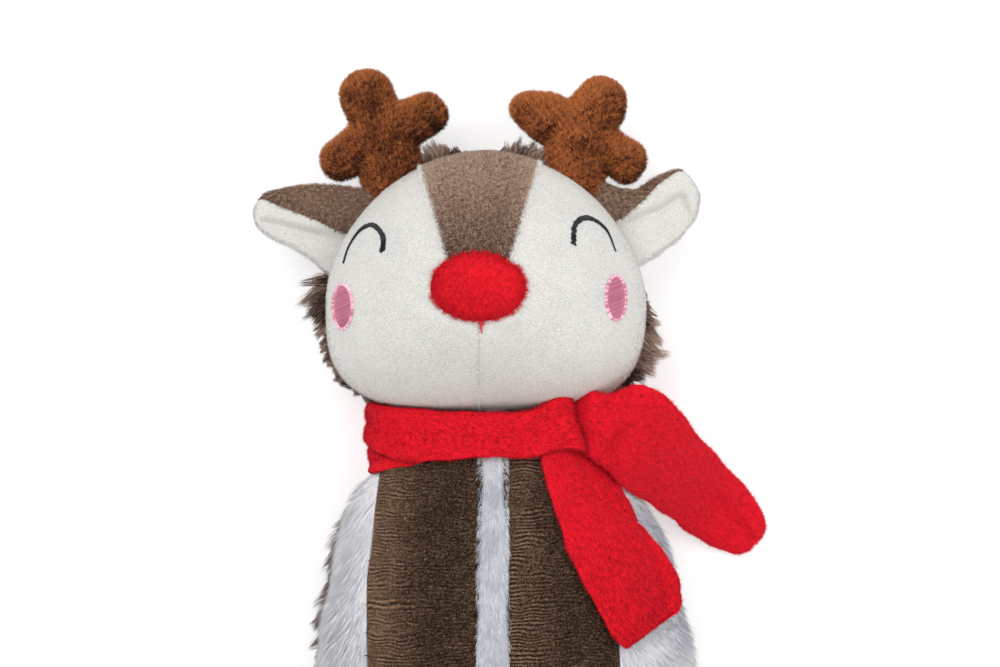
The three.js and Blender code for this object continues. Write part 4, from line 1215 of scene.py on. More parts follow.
def flank_gap(points):
    """How far places are beyond the outer edge of the chest panels."""
    x, y, _ = points.T
    share = np.clip((TORSO_TOP - y) / PANEL_FLARE, 0, 1)
    neck, full = STRIP_TOP_HALF + PANEL_NECK_WIDTH, STRIP_FOOT_HALF + PANEL_WIDTH
    return np.abs(x - STRIP_X) - neck - (full - neck) * share


def rib_crest(points):
    """1 on a rib of the knitted backing and -1 between two."""
    y = points[:, 1] + lumps(points * [1, 0.6, 0], "rib_drift") + lumps(points * [1, 1, 0], "rib_wander")
    return np.cos(2 * np.pi * (y / RIB_PITCH))


def inside_outline(outline, x, y):
    inside = np.zeros(len(x), bool)
    for (x0, y0), (x1, y1) in zip(outline, np.roll(outline, -1, axis=0)):
        crosses = (y0 > y) != (y1 > y)
        inside ^= crosses & (x < x0 + (x1 - x0) * (y - y0) / (y1 - y0 or 1))
    return inside


def under_tails(points):
    """1 where the scarf lies on the chest, and 0 elsewhere."""
    covered = np.zeros(len(points), bool)
    for rows, node in ((FRONT_TAIL_SHARES, "scarf_front_tail"), (UNDERPLY_SHARES, "scarf_underply")):
        table = np.array(in_box(rows, node))
        outline = np.concatenate([table[:, 0:2], table[::-1, 2:4]])
        for shift in TAIL_SHIFTS:
            covered |= inside_outline(outline, points[:, 0] - shift, points[:, 1])
    return covered


def clear_of_head(points):
    return head_gap(points) - HEAD_CLEARANCE


def make_torso():
    angle = even_angles(300, torso_outline)[None, :]
    form = capped(torso_points(torso_shares(TORSO_STEP), angle)).above(0)
    form = form.moved(lumps(form.points, "torso_lumps") * (form.points[:, 2] > LOW_EDGE))
    white, fur = cloth_of("white_backing"), shades_of("white_fur")
    make_strip(form, white)
    for side, name in SIDES:
        make_flank(form, side, name, white, fur)
        make_chest_panel(side, name)
    make_back(form)
    angle = even_angles(110, torso_outline)[None, :]
    stuffing = capped(torso_points(torso_shares(CORE_STEP), angle, CORE_GROW))
    stuffing = stuffing.clip(lambda p: head_gap(p) - TORSO_CORE_GAP)
    stuffing = stuffing.moved(lumps(stuffing.points, "torso_core", "core"))
    core = add_piece("torso_core", stuffing, fibre, "torso", "stuffing", ["torso_stuffing"])


def make_strip(form, white):
    on = dict(body="torso", slot="white_fur")
    fields = [in_front_of(SIDE_SEAM_Z), lambda p: -HALF_GAP - strip_gap(p), clear_of_head]
    strip, _ = panel_of(form, fields, STRIP_DIP)
    add_piece("chest_stripe", strip.shell(FABRIC), white, replaces=["chest_strip"], **on)
    add_fur("chest_stripe_fur", strip.moved(-FUR_ROOT_SINK), shades_of("stripe_fur"), (0, -1, 0),
            weight=lambda p: p[:, 1] < SCARF_Y, **FURS["stripe_fur"], **on)


def make_flank(form, side, name, white, fur):
    def one_side(points):
        return side * (points[:, 0] - STRIP_X)

    def down_and_out(points):
        turn = FLANK_TURN - FLANK_TURN_LESS * ramp(points[:, 1], "waist_y")
        out = np.clip(flank_gap(points) / turn, 0, 1)
        return unit(np.stack([side * (0.12 + 0.75 * out), -np.ones(len(points)), -0.5 * out], 1))

    def shaded(points):
        return 0.75 - 0.65 * ramp(points[:, 0], "shade_x") * ramp(points[:, 1], "shade_y")

    def flattened(points):
        x, y, z = points.T
        shoulder = SHOULDER_FUR * ramp(y, "shoulder_y") * (x < STRIP_X)
        return FLANK_FUR_LENGTH + shoulder - PRESSED_FUR * under_tails(points) * (z > TAIL_REST_Z)

    on = dict(body="torso", slot="white_fur")
    fields = [in_front_of(SIDE_SEAM_Z), lambda p: flank_gap(p) - HALF_GAP, one_side, clear_of_head]
    panel, _ = panel_of(form, fields, FLANK_DIP)
    add_piece(f"flank_{name}", panel.shell(FABRIC), white, replaces=[f"side_fur_{name}"], **on)
    add_fur(f"flank_fur_{name}", panel, fur, down_and_out, length=flattened, tint=shaded,
            **FURS["flank_fur"], **on)


def make_back(form):
    on = dict(body="torso", slot="brown_fur")
    back, _ = panel_of(form, [behind(SIDE_SEAM_Z), clear_of_head])
    add_piece("torso_back", back.shell(FABRIC), hide, replaces=["back_fur_panel"], **on)

    def outwards_and_down(points):
        away = points - [STRIP_X + TORSO_LEAN / 2, 0, SIDE_SEAM_Z]
        away[:, 1:] = 0
        right = ramp(points[:, :1], "right_x")
        return unit(unit(away) * (0.9 - 0.9 * right) + [0, -1, 0.25] - right * [0, 0, 0.6])

    def shorter_at_right(points):
        x, y, z = points.T
        beside_tails = ramp(x, "tails_x") * ramp(z, "tails_z") * ramp(y, "tails_y")
        under_band = ease(y, BAND_FOOT_Y - BAND_FADE_BELOW, BAND_FOOT_Y + BAND_FADE_ABOVE)
        at_left = ramp(-x, "left_x") * ramp(y, "left_y")
        length = BACK_FUR_LENGTH - BACK_FUR_RIGHT * ramp(x, "right_x") + BACK_FUR_LEFT * at_left
        return (length - BACK_FUR_TAILS * beside_tails) * (1 - 0.8 * under_band)

    def fuller_at_edge(points):
        x, _, z = points.T
        thinned = 0.5 * ramp(np.abs(x), "back_x") * (z > BACK_FUR_FRONT_Z)
        return (0.45 + 1.4 * ramp(z, "back_z")) * (1 - thinned)

    add_fur("back_fur", back, shades_of("back_fur"), outwards_and_down, length=shorter_at_right,
            weight=fuller_at_edge, **FURS["back_fur"], **on)


# Chest panels

RIB_STEP = 0.31
CHEST_END_ANGLE = 0.02
PUFF_DROP = 0.9
PUFF_WIDTH = 5
EDGE_FUZZ_REACH = 1.2
EDGE_FUZZ_LENGTH = 0.5
EDGE_FUZZ_LONGER = 2.8


def chest_form(side):
    """A panel that puffs up between its seams, with the ribs of its knitted backing."""
    low, high = (CHEST_END_ANGLE, QUARTER) if side > 0 else (QUARTER, np.pi - CHEST_END_ANGLE)
    angle = even_angles(110, torso_outline, low, high, closed=False)[None, :]
    form = grid(torso_points(torso_shares(RIB_STEP), angle))
    if form.normals()[:, 2].mean() < 0:
        form = Surface(form.points, form.tris[:, ::-1])
    panel, near = panel_of(form, [
        in_front_of(SIDE_SEAM_Z), lambda p: strip_gap(p) - HALF_GAP, lambda p: -HALF_GAP - flank_gap(p),
        clear_of_head, lambda p: side * (p[:, 0] - STRIP_X),
    ])
    puff = (CHEST_PUFF + PUFF_DROP) * (1 - dent(near, PUFF_WIDTH)) - PUFF_DROP
    rib = RIB_HEIGHT * rib_crest(panel.points) * ramp(near, "rib_edge")
    return panel.moved(puff + rib + lumps(panel.points, "chest_lumps"))


def make_chest_panel(side, name):
    """The short brown pile beside the strip, lit from the viewer's left along its ribs."""
    panel = chest_form(side)
    nap = shades_of("chest_nap")
    on = dict(body="torso", slot="chest_plush")

    def lit_from_left(points, _=None):
        from_flank, from_strip = -flank_gap(points), strip_gap(points)
        across = (from_flank if side < 0 else from_strip) / (from_flank + from_strip)
        raking = 1 - ease(across, 0, 0.62)
        patchy = ease(lumps(points * [0.35, 1, 1], "rib_light", "rib_light_" + name), -0.8, 0.9)
        base = (0.3 if side < 0 else 0.15) * raking - 0.45 + 0.06 * ease(across, 0.85, 1)
        return base + (0.05 + 0.26 * raking) * rib_crest(points) * patchy

    cloth = panel.shell(FABRIC)
    middle = cloth.points[cloth.tris].mean(1)
    level = 0.5 + lit_from_left(middle) + lumps(middle, "chest_patches")
    level = level + 0.15 * draws("chest_specks_" + name).normal(size=len(middle))
    index = np.clip((level * len(nap)).astype(int), 0, len(nap) - 1)
    add_piece(f"chest_{name}", cloth, nap, replaces=[f"chest_panel_{name}"], index=index, **on)
    add_pile(f"chest_nap_{name}", panel, nap, (side * 0.1, -1, 0), tint=lit_from_left,
             weight=lambda p: 0.5 + np.maximum(0, rib_crest(p)), **PILES["chest_nap"], **on)
    add_pile(f"chest_edge_{name}", panel, nap, (-side, -0.4, 0.2), tint=lit_from_left,
             length=lambda p: EDGE_FUZZ_LENGTH + EDGE_FUZZ_LONGER * ramp(p[:, 1], "fringe_y"),
             weight=lambda p: strip_gap(p) < EDGE_FUZZ_REACH, **PILES["chest_edge"], **on)


# Scarf

# How deep each fold of the band is, in millimetres
UNDER_DEPTH = 2.2
GROOVE_DEPTH = 1.4
TUCK_DEPTH = 0.9
BULGE_HEIGHT = 3.6
WRINKLE_HEIGHT = 0.5
SUNK_DEPTH = 3.5
DRAWN_IN_DEPTH = 2.4
CROSSING_LIFT = 2.5
CROSSING_RISE = 5

# Where the long tail runs and folds, and the points that each tail's bend is given
KNOT_SINK = 1
TAIL_TUCK = 9
FOLD_CREST = 1.1
FOLD_TROUGH = 0.9
FAN_HEIGHT = 0.55
LONG_BEND_START = 3
LONG_BEND_RUN = 15
FRONT_BEND_X = 27.5
FRONT_BEND_HIGH_Y = 74
FRONT_BEND_LOW_Y = 62
FRONT_BEND_Z = 64
TAIL_CUT_SHARE = 0.34

# The strips: flat width and length in metres, how each is held, and what it lies on
STRIPS = {
    "scarf_wrap": dict(
        body="torso", node="scarf_band", count=30000, way=(1, -0.4, 0), flat=(0.029, 0.34),
        held="gathered", rests_on=["torso_core"],
    ),
    "scarf_cross": dict(
        body="torso", node="scarf_knot", count=9000, way=(0.8, -0.6, 0), flat=(0.03, 0.026),
        held="folded", rests_on=["scarf_wrap"],
    ),
    "scarf_long": dict(
        body="long_tail", node="scarf_long_tail", count=26000, way=(0.8, -0.6, 0), flat=(0.031, 0.09),
        held="draped", rests_on=["scarf_wrap"],
    ),
    "scarf_front": dict(
        body="front_tail", node="scarf_front_tail", count=24000, way=(0.5, -1, 0), flat=(0.031, 0.09),
        held="draped", rests_on=["chest_left", "chest_right"],
    ),
    "scarf_under": dict(
        body="torso", node="scarf_underply", count=6000, way=(0.5, -1, 0), flat=(0.022, 0.042),
        held="folded", rests_on=["chest_right"],
    ),
}

# The long tail from the crossing to its round end: upper and lower edge, and the thickness
LONG_TAIL_SHARES = [
    (-0.04, 0.96, 0.03, 0.72, 0.2), (-0.01, 0.98, 0.06, 0.7, 0.8), (0.09, 1.0, 0.13, 0.62, 1),
    (0.224, 0.965, 0.2, 0.552, 1.1), (0.375, 1.015, 0.29, 0.44, 1.05), (0.506, 0.941, 0.388, 0.352, 1),
    (0.658, 0.721, 0.512, 0.247, 1), (0.83, 0.49, 0.631, 0.132, 1), (0.945, 0.33, 0.745, 0.045, 1.05),
    (0.985, 0.2, 0.83, 0.01, 0.95), (0.975, 0.12, 0.89, 0.02, 0.75), (0.945, 0.065, 0.92, 0.045, 0.4),
]
LONG_TAIL_DROP_SHARES = [
    (-0.1, 0), (0.02, 0.01), (0.2, 0.1), (0.4, 0.3), (0.6, 0.56), (0.8, 0.8), (0.98, 0.93), (1.14, 0.985),
    (1.34, 1),
]

# The front tail from under the band to its square end: left and right edge, and the thickness
FRONT_TAIL_SHARES = [
    (0.02, 1.1, 0.2, 1.12, 0.7), (0, 1.0, 0.25, 1.03, 0.8), (0.032, 0.883, 0.322, 0.929, 1),
    (0.095, 0.731, 0.435, 0.803, 1), (0.194, 0.517, 0.576, 0.721, 1), (0.308, 0.347, 0.733, 0.649, 1),
    (0.423, 0.195, 0.856, 0.548, 1), (0.504, 0.097, 0.985, 0.4, 1), (0.56, 0.04, 1.02, 0.27, 0.95),
    (0.6, 0.025, 1.0, 0.215, 0.7),
]

# The turned-under ply, in the shade between the two tails
UNDERPLY_SHARES = [
    (-0.16, 1.14, 0.4, 1.14, 0.6), (-0.13, 0.95, 0.42, 0.95, 0.9), (-0.04, 0.75, 0.46, 0.78, 1),
    (0.13, 0.6, 0.54, 0.66, 1), (0.28, 0.46, 0.61, 0.53, 1), (0.38, 0.32, 0.66, 0.4, 0.9),
    (0.5, 0.2, 0.7, 0.28, 0.7), (0.6, 0.12, 0.72, 0.2, 0.3),
]


def band_fold(along, degrees, left, past):
    """How far the band's outside stands out, across it and round the neck: tucked under at the
    viewer's left, bulging up before the crossing, and sunk past it."""
    line = -0.17 - 0.83 * ease(180 - degrees, 0, 62)
    under = left * ease(line - along, 0, 0.06)
    groove = left * dent(along - line, 0.07)
    tuck = dent(along - 0.4, 0.12) * ease(degrees, 150, 170) * left
    wrinkle = np.sin(3.2 * along + degrees / 7) * dent(degrees - 76, 14)
    fold = -UNDER_DEPTH * under - GROOVE_DEPTH * groove - TUCK_DEPTH * tuck
    return fold + BULGE_HEIGHT * dent(past + 6, 9) + WRINKLE_HEIGHT * wrinkle - SUNK_DEPTH * ease(past, 0, 7)


def band_points(angle, turn):
    """The strip round the neck. It is gathered narrower over the throat."""
    gathered = np.maximum(0, np.sin(angle)) ** 2
    half = SCARF_WIDTH / 2 * (1 - gathered) + SCARF_FRONT_WIDTH / 2 * gathered
    out, along = super_point(turn, BAND_POWER)
    at = (TORSO_TOP - SCARF_Y) / TORSO_LENGTH
    share = at - (along * half + SCARF_FRONT_RISE * gathered) / TORSO_LENGTH
    degrees = angle / DEGREE
    left = ease(degrees, 112, 130) * (1 - ease(degrees, 190, 215))
    past = CROSSING + 3.4 * along - degrees
    fold = band_fold(along, degrees, left, past)
    far = SEAM_GAP + CHEST_PUFF + SCARF_THICK / 2 + out * (SCARF_THICK / 2) + fold * ease(out, 0, 0.6)
    far = far - DRAWN_IN_DEPTH * left * ease(-along, 0.35, 1) * ease(out, -1, 0)
    points = torso_points(np.maximum(NECK_END_SHARE, share), angle, far)
    lifted = gathered + CROSSING_LIFT * dent(past + 4, 8)
    up_to, down_from = ease(degrees, 20, CROSSING), ease(degrees, CROSSING + 2, CROSSING + 25)
    rising = CROSSING_RISE * up_to * (1 - down_from)
    points[..., 1] = TORSO_TOP - TORSO_LENGTH * share + lifted * ease(along, 0, 1) + rising
    return points


def band_top(x):
    return chest_height(x, SCARF_Y, SEAM_GAP + CHEST_PUFF + SCARF_THICK, 1)


def cushion_rows(edges, level_at, thick, rows, columns, relief=None):
    """Rings round a double layer of cloth between two edges in the ground plan. Each row of edges
    holds the outer and the inner end and the share of the thickness there."""
    table = np.array(edges, float)
    at = np.linspace(0, len(table) - 1, rows)
    x0, y0, x1, y1, full = (read_rows(column, at)[:, None] for column in table.T)
    width = np.median(np.hypot(table[:, 2] - table[:, 0], table[:, 3] - table[:, 1]))
    side, height = super_point(even_turns(columns, BAND_POWER, width, thick)[None, :], BAND_POWER)
    x = (x0 + x1) / 2 + (x1 - x0) / 2 * side
    y = (y0 + y1) / 2 + (y1 - y0) / 2 * side
    rise = height * thick / 2 * full
    if relief is not None:
        rise = rise + relief(at[:, None], side) * ease(height, 0, 0.5)
    return np.stack([x, y, level_at(x, y) + rise], -1)


def in_box(rows, *nodes):
    """Places given as shares of the boxes of some nodes, with the rest of each row kept."""
    corners = np.array([np.array(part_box(node)) / MM for node in nodes])
    low, high = corners[:, 0].min(0), corners[:, 1].max(0)
    size = high - low
    return [
        (low[0] + a * size[0], low[1] + b * size[1], low[0] + c * size[0], low[1] + d * size[1], *rest)
        for a, b, c, d, *rest in rows
    ]


def long_tail_level(x, y):
    run = (x - LONG_TAIL_X) * np.cos(LONG_TAIL_ANGLE) + (y - LONG_TAIL_Y) * np.sin(LONG_TAIL_ANGLE)
    high = band_top(KNOT_X) + KNOT_RISE - LONG_TAIL_THICK / 2 - KNOT_SINK
    low = LONG_TAIL_THICK / 2 - FLOOR_SINK
    tucked = TAIL_TUCK * (1 - ramp(x, "tuck_x"))
    return high - tucked + (low - high) * read_table(LONG_TAIL_DROP_SHARES, run / LONG_TAIL_RUN)


def long_tail_relief(at, side):
    """Soft folds: one along the lower end, and creases that fan out from the crossing."""
    along = ease(at, 6, 7.5) * (1 - ease(at, 9, 10))
    fold = FOLD_CREST * dent(side + 0.42, 0.2) - FOLD_TROUGH * dent(side + 0.1, 0.2)
    fan = np.sin(5.5 * side + 1.3) * dent(at - 2, 1.5) + 0.7 * np.sin(4 * side + at) * dent(at - 4, 1.6)
    return along * fold + FAN_HEIGHT * fan


def on_chest(thick):
    """The middle height of a strip of that thickness that lies on the chest."""
    return lambda x, y: chest_height(x, y) + thick / 2


def softened(surface, name):
    """Uneven, and thinner by the nap that goes on it."""
    return surface.moved(lumps(surface.points, "scarf", name) - NAP_ROOM).above(0)


def softened_rings(rings, name):
    return softened(capped(rings), name).points[:-2].reshape(rings.shape)


def scarf_shade(name, points):
    """Painted light and shade on the red strips, by strip and place."""
    # The band and the underply are painted darker, the front tail darker towards its lower end, and the
    # crossing and the long tail lighter, the long tail most towards its end.
    if name == "scarf_front":
        return 0.05 - 0.27 * (1 - ramp(points[:, 1], "front_tail_y"))
    if name == "scarf_long":
        return 0.18 + 0.14 * ramp(points[:, 0], "long_tail_x")
    return {"scarf_wrap": -0.21, "scarf_under": -0.22, "scarf_cross": 0.1}[name]


def add_strip(name, rings, red, nap, bend=None, weight=None):
    """A strip of the scarf with its short nap and a sparse fuzz over it."""
    strip = STRIPS[name]
    if name == "scarf_wrap":
        closed = surface = grid(rings, close_columns=True, close_rows=True).outward()
    else:
        closed = capped(rings)
        surface = Surface(closed.points, closed.tris[: -2 * rings.shape[1]]).tidy()
    on = dict(body=strip["body"], slot="red_fleece", bend=bend)
    piece = add_piece(name, closed, red, replaces=[strip["node"]], **on)
    # The fuzz is drawn lighter than the nap, a painted highlight on its loose fibres.
    for pile, count, lighter in (("nap", strip["count"], 0), ("fuzz", strip["count"] // 3, 0.25)):
        add_pile(f"{name}_{pile}", surface, nap, strip["way"], count=count, weight=weight,
                 tint=lambda p, _, lighter=lighter: scarf_shade(name, p) + lighter,
                 **PILES[f"scarf_{pile}"], **on)


def make_scarf():
    look = dict(red=cloth_of("scarf_cloth"), nap=shades_of("scarf_nap"))
    angle = np.linspace(0, 2 * np.pi, 360, endpoint=False)[:, None]
    band = band_points(angle, even_turns(56, BAND_POWER, SCARF_THICK, SCARF_WIDTH)[None, :])
    wrap = softened(grid(band, close_columns=True, close_rows=True).outward(), "scarf_wrap")
    add_strip("scarf_wrap", wrap.points.reshape(band.shape), weight=lambda p: 0.1 + ramp(p[:, 2], "back_z"),
              **look)

    edges = in_box(LONG_TAIL_SHARES, "scarf_knot", "scarf_long_tail")
    rings = cushion_rows(edges, long_tail_level, LONG_TAIL_THICK, 210, 80, long_tail_relief)
    rings = softened_rings(rings, "scarf_long")
    cut = int(TAIL_CUT_SHARE * len(rings))
    way = np.array([np.cos(LONG_TAIL_ANGLE), np.sin(LONG_TAIL_ANGLE), 0])
    start = rings[cut].mean(0) + LONG_BEND_START * way
    add_strip("scarf_cross", rings[: cut + 1], **look)
    add_strip("scarf_long", rings[cut:], bend=("torso", start, start + LONG_BEND_RUN * way), **look)

    edges = in_box(FRONT_TAIL_SHARES, "scarf_front_tail")
    tail = cushion_rows(edges, on_chest(FRONT_TAIL_THICK), FRONT_TAIL_THICK, 200, 72)
    high, low = ((FRONT_BEND_X, y, FRONT_BEND_Z) for y in (FRONT_BEND_HIGH_Y, FRONT_BEND_LOW_Y))
    add_strip("scarf_front", softened_rings(tail, "scarf_front"), bend=("torso", high, low), **look)

    edges = in_box(UNDERPLY_SHARES, "scarf_underply")
    ply = cushion_rows(edges, on_chest(UNDERPLY_THICK), UNDERPLY_THICK, 90, 48)
    add_strip("scarf_under", softened_rings(ply, "scarf_under"), **look)


# Ears

EAR_THICK = 6.6
EAR_LIFT = 0.6
EAR_FLOOR_Z = 22
EAR_PLY = 0.7
EAR_BEND_START = 1
EAR_BEND_END = 9
EAR_COLUMNS = (18, 12, 18)
EAR_BACK_COLUMNS = 36
FOLD_FADE_SHARE = 0.12
LINING_NAP_SHARE = 0.06
BACK_NAP_SHARE = 0.13

# Shares of the ear's length from its root, then of its width: its top edge, where the brown and the
# white ply meet, the crease under the fold, and the lower edge
EAR_SHARES = {
    "left": [
        (-0.3, 0.58, -0.12, -0.17, -0.66), (-0.1, 0.58, -0.1, -0.16, -0.72),
        (0.15, 0.57, -0.04, -0.15, -0.68), (0.4, 0.54, 0.06, -0.135, -0.47),
        (0.6, 0.49, 0.12, -0.11, -0.345), (0.8, 0.4, 0.18, -0.08, -0.28), (0.93, 0.32, 0.22, -0.07, -0.19),
        (1, 0.23, 0.19, -0.05, -0.1), (1.04, 0.08, 0.07, 0.04, 0.02),
    ],
    "right": [
        (-0.3, 0.8, 0.16, 0.04, -0.6), (-0.1, 0.78, 0.16, 0.05, -0.6), (0.05, 0.7, 0.17, 0.055, -0.53),
        (0.2, 0.575, 0.21, 0.07, -0.5), (0.36, 0.46, 0.27, 0.08, -0.465), (0.48, 0.5, 0.335, 0.06, -0.43),
        (0.62, 0.51, 0.4, 0.09, -0.38), (0.75, 0.5, 0.44, 0.11, -0.3), (0.86, 0.48, 0.45, 0.12, -0.19),
        (0.93, 0.43, 0.41, 0.12, -0.08), (0.97, 0.35, 0.34, 0.12, 0.01), (0.99, 0.24, 0.23, 0.12, 0.08),
    ],
}

# Where each ear roots and aims, in degrees, its length in millimetres, and where its fold ends, in
# shares of the length
EAR_PLACES = {
    "left": dict(root=148.5, aims=171, side=-1, length=39.7, fold_end=1),
    "right": dict(root=30.5, aims=23, side=1, length=36.3, fold_end=0.88),
}


def root_on_head(angle, depth):
    """Where a piece roots on the head, at an angle round the face, behind the face seam."""
    tilt = -np.arcsin(min(1, (HEAD_Z - FACE_SEAM_Z + depth) / NAPE_DEPTH) ** (NAPE_POWER / 2))
    return head_points(np.array(tilt), np.array(angle), 0)


def eased_steps(start, end, count):
    return start + (end - start) * (1 - np.cos(np.linspace(0, np.pi, count + 1)[:-1])) / 2


def ear_section(top, seam, crease, low, thick, folded):
    """The ear's outline in a cut across it, from its lower edge over the front to the top edge and
    back: the places across it and how far out they are."""
    width = top - low
    parts = zip((low, crease, seam), (crease, seam, top), EAR_COLUMNS)
    across = np.concatenate([eased_steps(*part) for part in parts])
    back = eased_steps(top, low, EAR_BACK_COLUMNS)

    def rounded(places):
        share = np.clip((places - low) / max(width, 1e-3), 0, 1)
        return thick * (1 - np.abs(2 * share - 1) ** 2.6) ** (1 / 2.2)

    step = 1 - 0.5 * folded * (1 - ease(across, crease - 0.04 * width, crease + 0.16 * width))
    front = rounded(across) * (step - 0.16 * folded * dent(across - crease, 0.06 * width))
    return np.concatenate([across, back]), np.concatenate([front, -0.3 * rounded(back)])


def ear_rings(place, table, root, along, up):
    """Cuts across the ear from its root to its tip, closer together near the tip."""
    low, tip = table[0, 0], table[-1, 0]
    rings = []
    for run in tip - (tip - low) * np.linspace(1, 0, 90) ** 1.6:
        top, seam, crease, bottom = (
            EAR_WIDTH * float(read_table(table[:, [0, k]], np.array(run))) for k in range(1, 5)
        )
        thick = EAR_THICK * np.sqrt(np.clip((top - bottom) / EAR_WIDTH, 0, 1))
        folded = 1 - ease(run, place["fold_end"] - FOLD_FADE_SHARE, place["fold_end"])
        across, out = ear_section(top, seam, crease, bottom, thick, folded)
        middle = root + along * run * place["length"]
        rings.append(middle + across[:, None] * up + out[:, None] * [0, 0, 1] + [0, 0, EAR_LIFT])
    return np.array(rings)


def make_ear(name, place, looks):
    """The white lining and the brown outer ply of one ear, which meet in its two seams."""
    root = root_on_head(place["root"] * DEGREE, EAR_DROP)
    lean = place["aims"] * DEGREE
    along = np.array([np.cos(lean), np.sin(lean), 0])
    up = np.array([-along[1], along[0], 0]) * place["side"]
    table = np.array(EAR_SHARES[name])
    rings = ear_rings(place, table, root, along, up)
    form = capped(rings)
    form = form.moved(lumps(form.points, "ear", "ear_" + name)).above(EAR_FLOOR_Z)
    rows, count = rings.shape[:2]
    column = np.concatenate([np.tile(np.arange(count), rows), [0, count - 1]])
    lining = (column[form.tris] <= sum(EAR_COLUMNS[:2])).all(1)

    def above_rim(points):
        """How far places are above the lower edge, in shares of the width, and short of the tip."""
        run = (points - root) @ along / place["length"]
        rim = read_table(table[:, [0, 4]], run)
        return np.minimum((points - root) @ up / EAR_WIDTH - rim, 1.5 * (table[-1, 0] - run))

    for part, chosen, held in (
        ("lining", lining, lambda p: above_rim(p) < LINING_NAP_SHARE),
        ("back", ~lining, lambda p: above_rim(p) > BACK_NAP_SHARE),
    ):
        cloth, nap, pile, slot = looks[part]
        bend = ("head", root + along * EAR_BEND_START, root + along * EAR_BEND_END)
        on = dict(body="ear_" + name, slot=slot, bend=bend)
        ply = Surface(form.points, form.tris[chosen]).tidy()
        add_piece(f"ear_{part}_{name}", ply.shell(EAR_PLY), cloth, replaces=[f"ear_{name}_{part}"], **on)
        add_pile(f"ear_{part}_nap_{name}", ply, nap, along * 0.4 - up, weight=held, **pile, **on)


def make_ears():
    looks = {
        part: (cloth_of(f"{kind}_cloth"), shades_of(f"{kind}_nap"), PILES[f"{kind}_nap"], slot)
        for part, kind, slot in (("lining", "ear_lining", "white_plush"), ("back", "ear", "brown_plush"))
    }
    for name, place in EAR_PLACES.items():
        make_ear(name, place, looks)


# Antlers

ANTLER_BEND_BELOW = 4
ANTLER_BEND_ABOVE = 8
ANTLER_NAP_DROP = 8
ANTLER_SEAM_DIP = 0.5
ANTLER_SEAM_WIDTH = 0.9
MELT_VOXEL = 0.9
MELT_ROUNDS = 6
STEM_SHARE = 0.255
TINE_SHARE = 0.9

# Where each limb ends and how thick it is there, in shares of the antler's height
ANTLER_SHARES = {
    "left": {
        "fork": (0.11, 0.46, 0.27), "crown": (0.265, 0.79, 0.225), "inner": (-0.25, 0.64, 0.18),
        "outer": (0.51, 0.23, 0.16),
    },
    "right": {
        "fork": (0.03, 0.48, 0.27), "crown": (0.225, 0.71, 0.24), "inner": (-0.37, 0.67, 0.175),
        "outer": (0.46, 0.22, 0.17),
    },
}

# Where each antler roots, in degrees, its side, and how much lighter or darker its pile is drawn
ANTLER_PLACES = {"left": (126, -1, -0.16), "right": (54, 1, 0.02)}


def limb(start, end, start_radius, end_radius):
    """A tapered limb with round ends, flattened front to back."""
    along = unit(end - start)
    across = np.array([along[1], -along[0], 0])
    turn = np.linspace(0, 2 * np.pi, 40, endpoint=False)[None, :, None]
    caps = np.sin(np.linspace(0.08, QUARTER, 9))
    stops = [(start, start_radius, -cap) for cap in caps[::-1][1:]] + [(start, start_radius, 0)]
    stops += [(end, end_radius, 0)] + [(end, end_radius, cap) for cap in caps[:-1]]
    ring = (np.cos(turn) * across + np.sin(turn) * [0, 0, ANTLER_THIN_SHARE])[0]
    rings = [middle + along * cap * r + r * np.sqrt(1 - cap**2) * ring for middle, r, cap in stops]
    return capped(np.array(rings))


def melted(surface):
    """Overlapping closed forms as one smooth skin."""
    mesh = bpy.data.meshes.new("melt")
    mesh.from_pydata(surface.points.tolist(), [], surface.tris.tolist())
    blob = bpy.data.objects.new("melt", mesh)
    bpy.context.scene.collection.objects.link(blob)
    remesh = blob.modifiers.new("remesh", "REMESH")
    remesh.mode = "VOXEL"
    remesh.voxel_size = MELT_VOXEL
    smooth = blob.modifiers.new("smooth", "SMOOTH")
    smooth.iterations = MELT_ROUNDS
    skin = blob.evaluated_get(bpy.context.evaluated_depsgraph_get()).to_mesh()
    points = np.array([v.co for v in skin.vertices], float)
    skin.calc_loop_triangles()
    tris = np.array([t.vertices for t in skin.loop_triangles], int)
    bpy.data.objects.remove(blob)
    return Surface(points, tris).outward()


def antler_form(name, root, side):
    """A stem that forks into three tines, all one skin, drawn in along the seam round it."""
    places = {
        part: (root + np.array([side * x, y, 0]) * ANTLER_HEIGHT, radius * ANTLER_HEIGHT)
        for part, (x, y, radius) in ANTLER_SHARES[name].items()
    }
    fork, fork_radius = places.pop("fork")
    limbs = [limb(root - [0, ANTLER_BURY, 0], fork, STEM_SHARE * ANTLER_HEIGHT, fork_radius)]
    limbs += [limb(fork, tip, fork_radius * TINE_SHARE, radius) for tip, radius in places.values()]
    form = melted(joined(limbs))
    seam = ANTLER_SEAM_DIP * dent(form.points[:, 2] - root[2], ANTLER_SEAM_WIDTH)
    return form.moved(lumps(form.points, "antler", "antler_" + name) - seam)


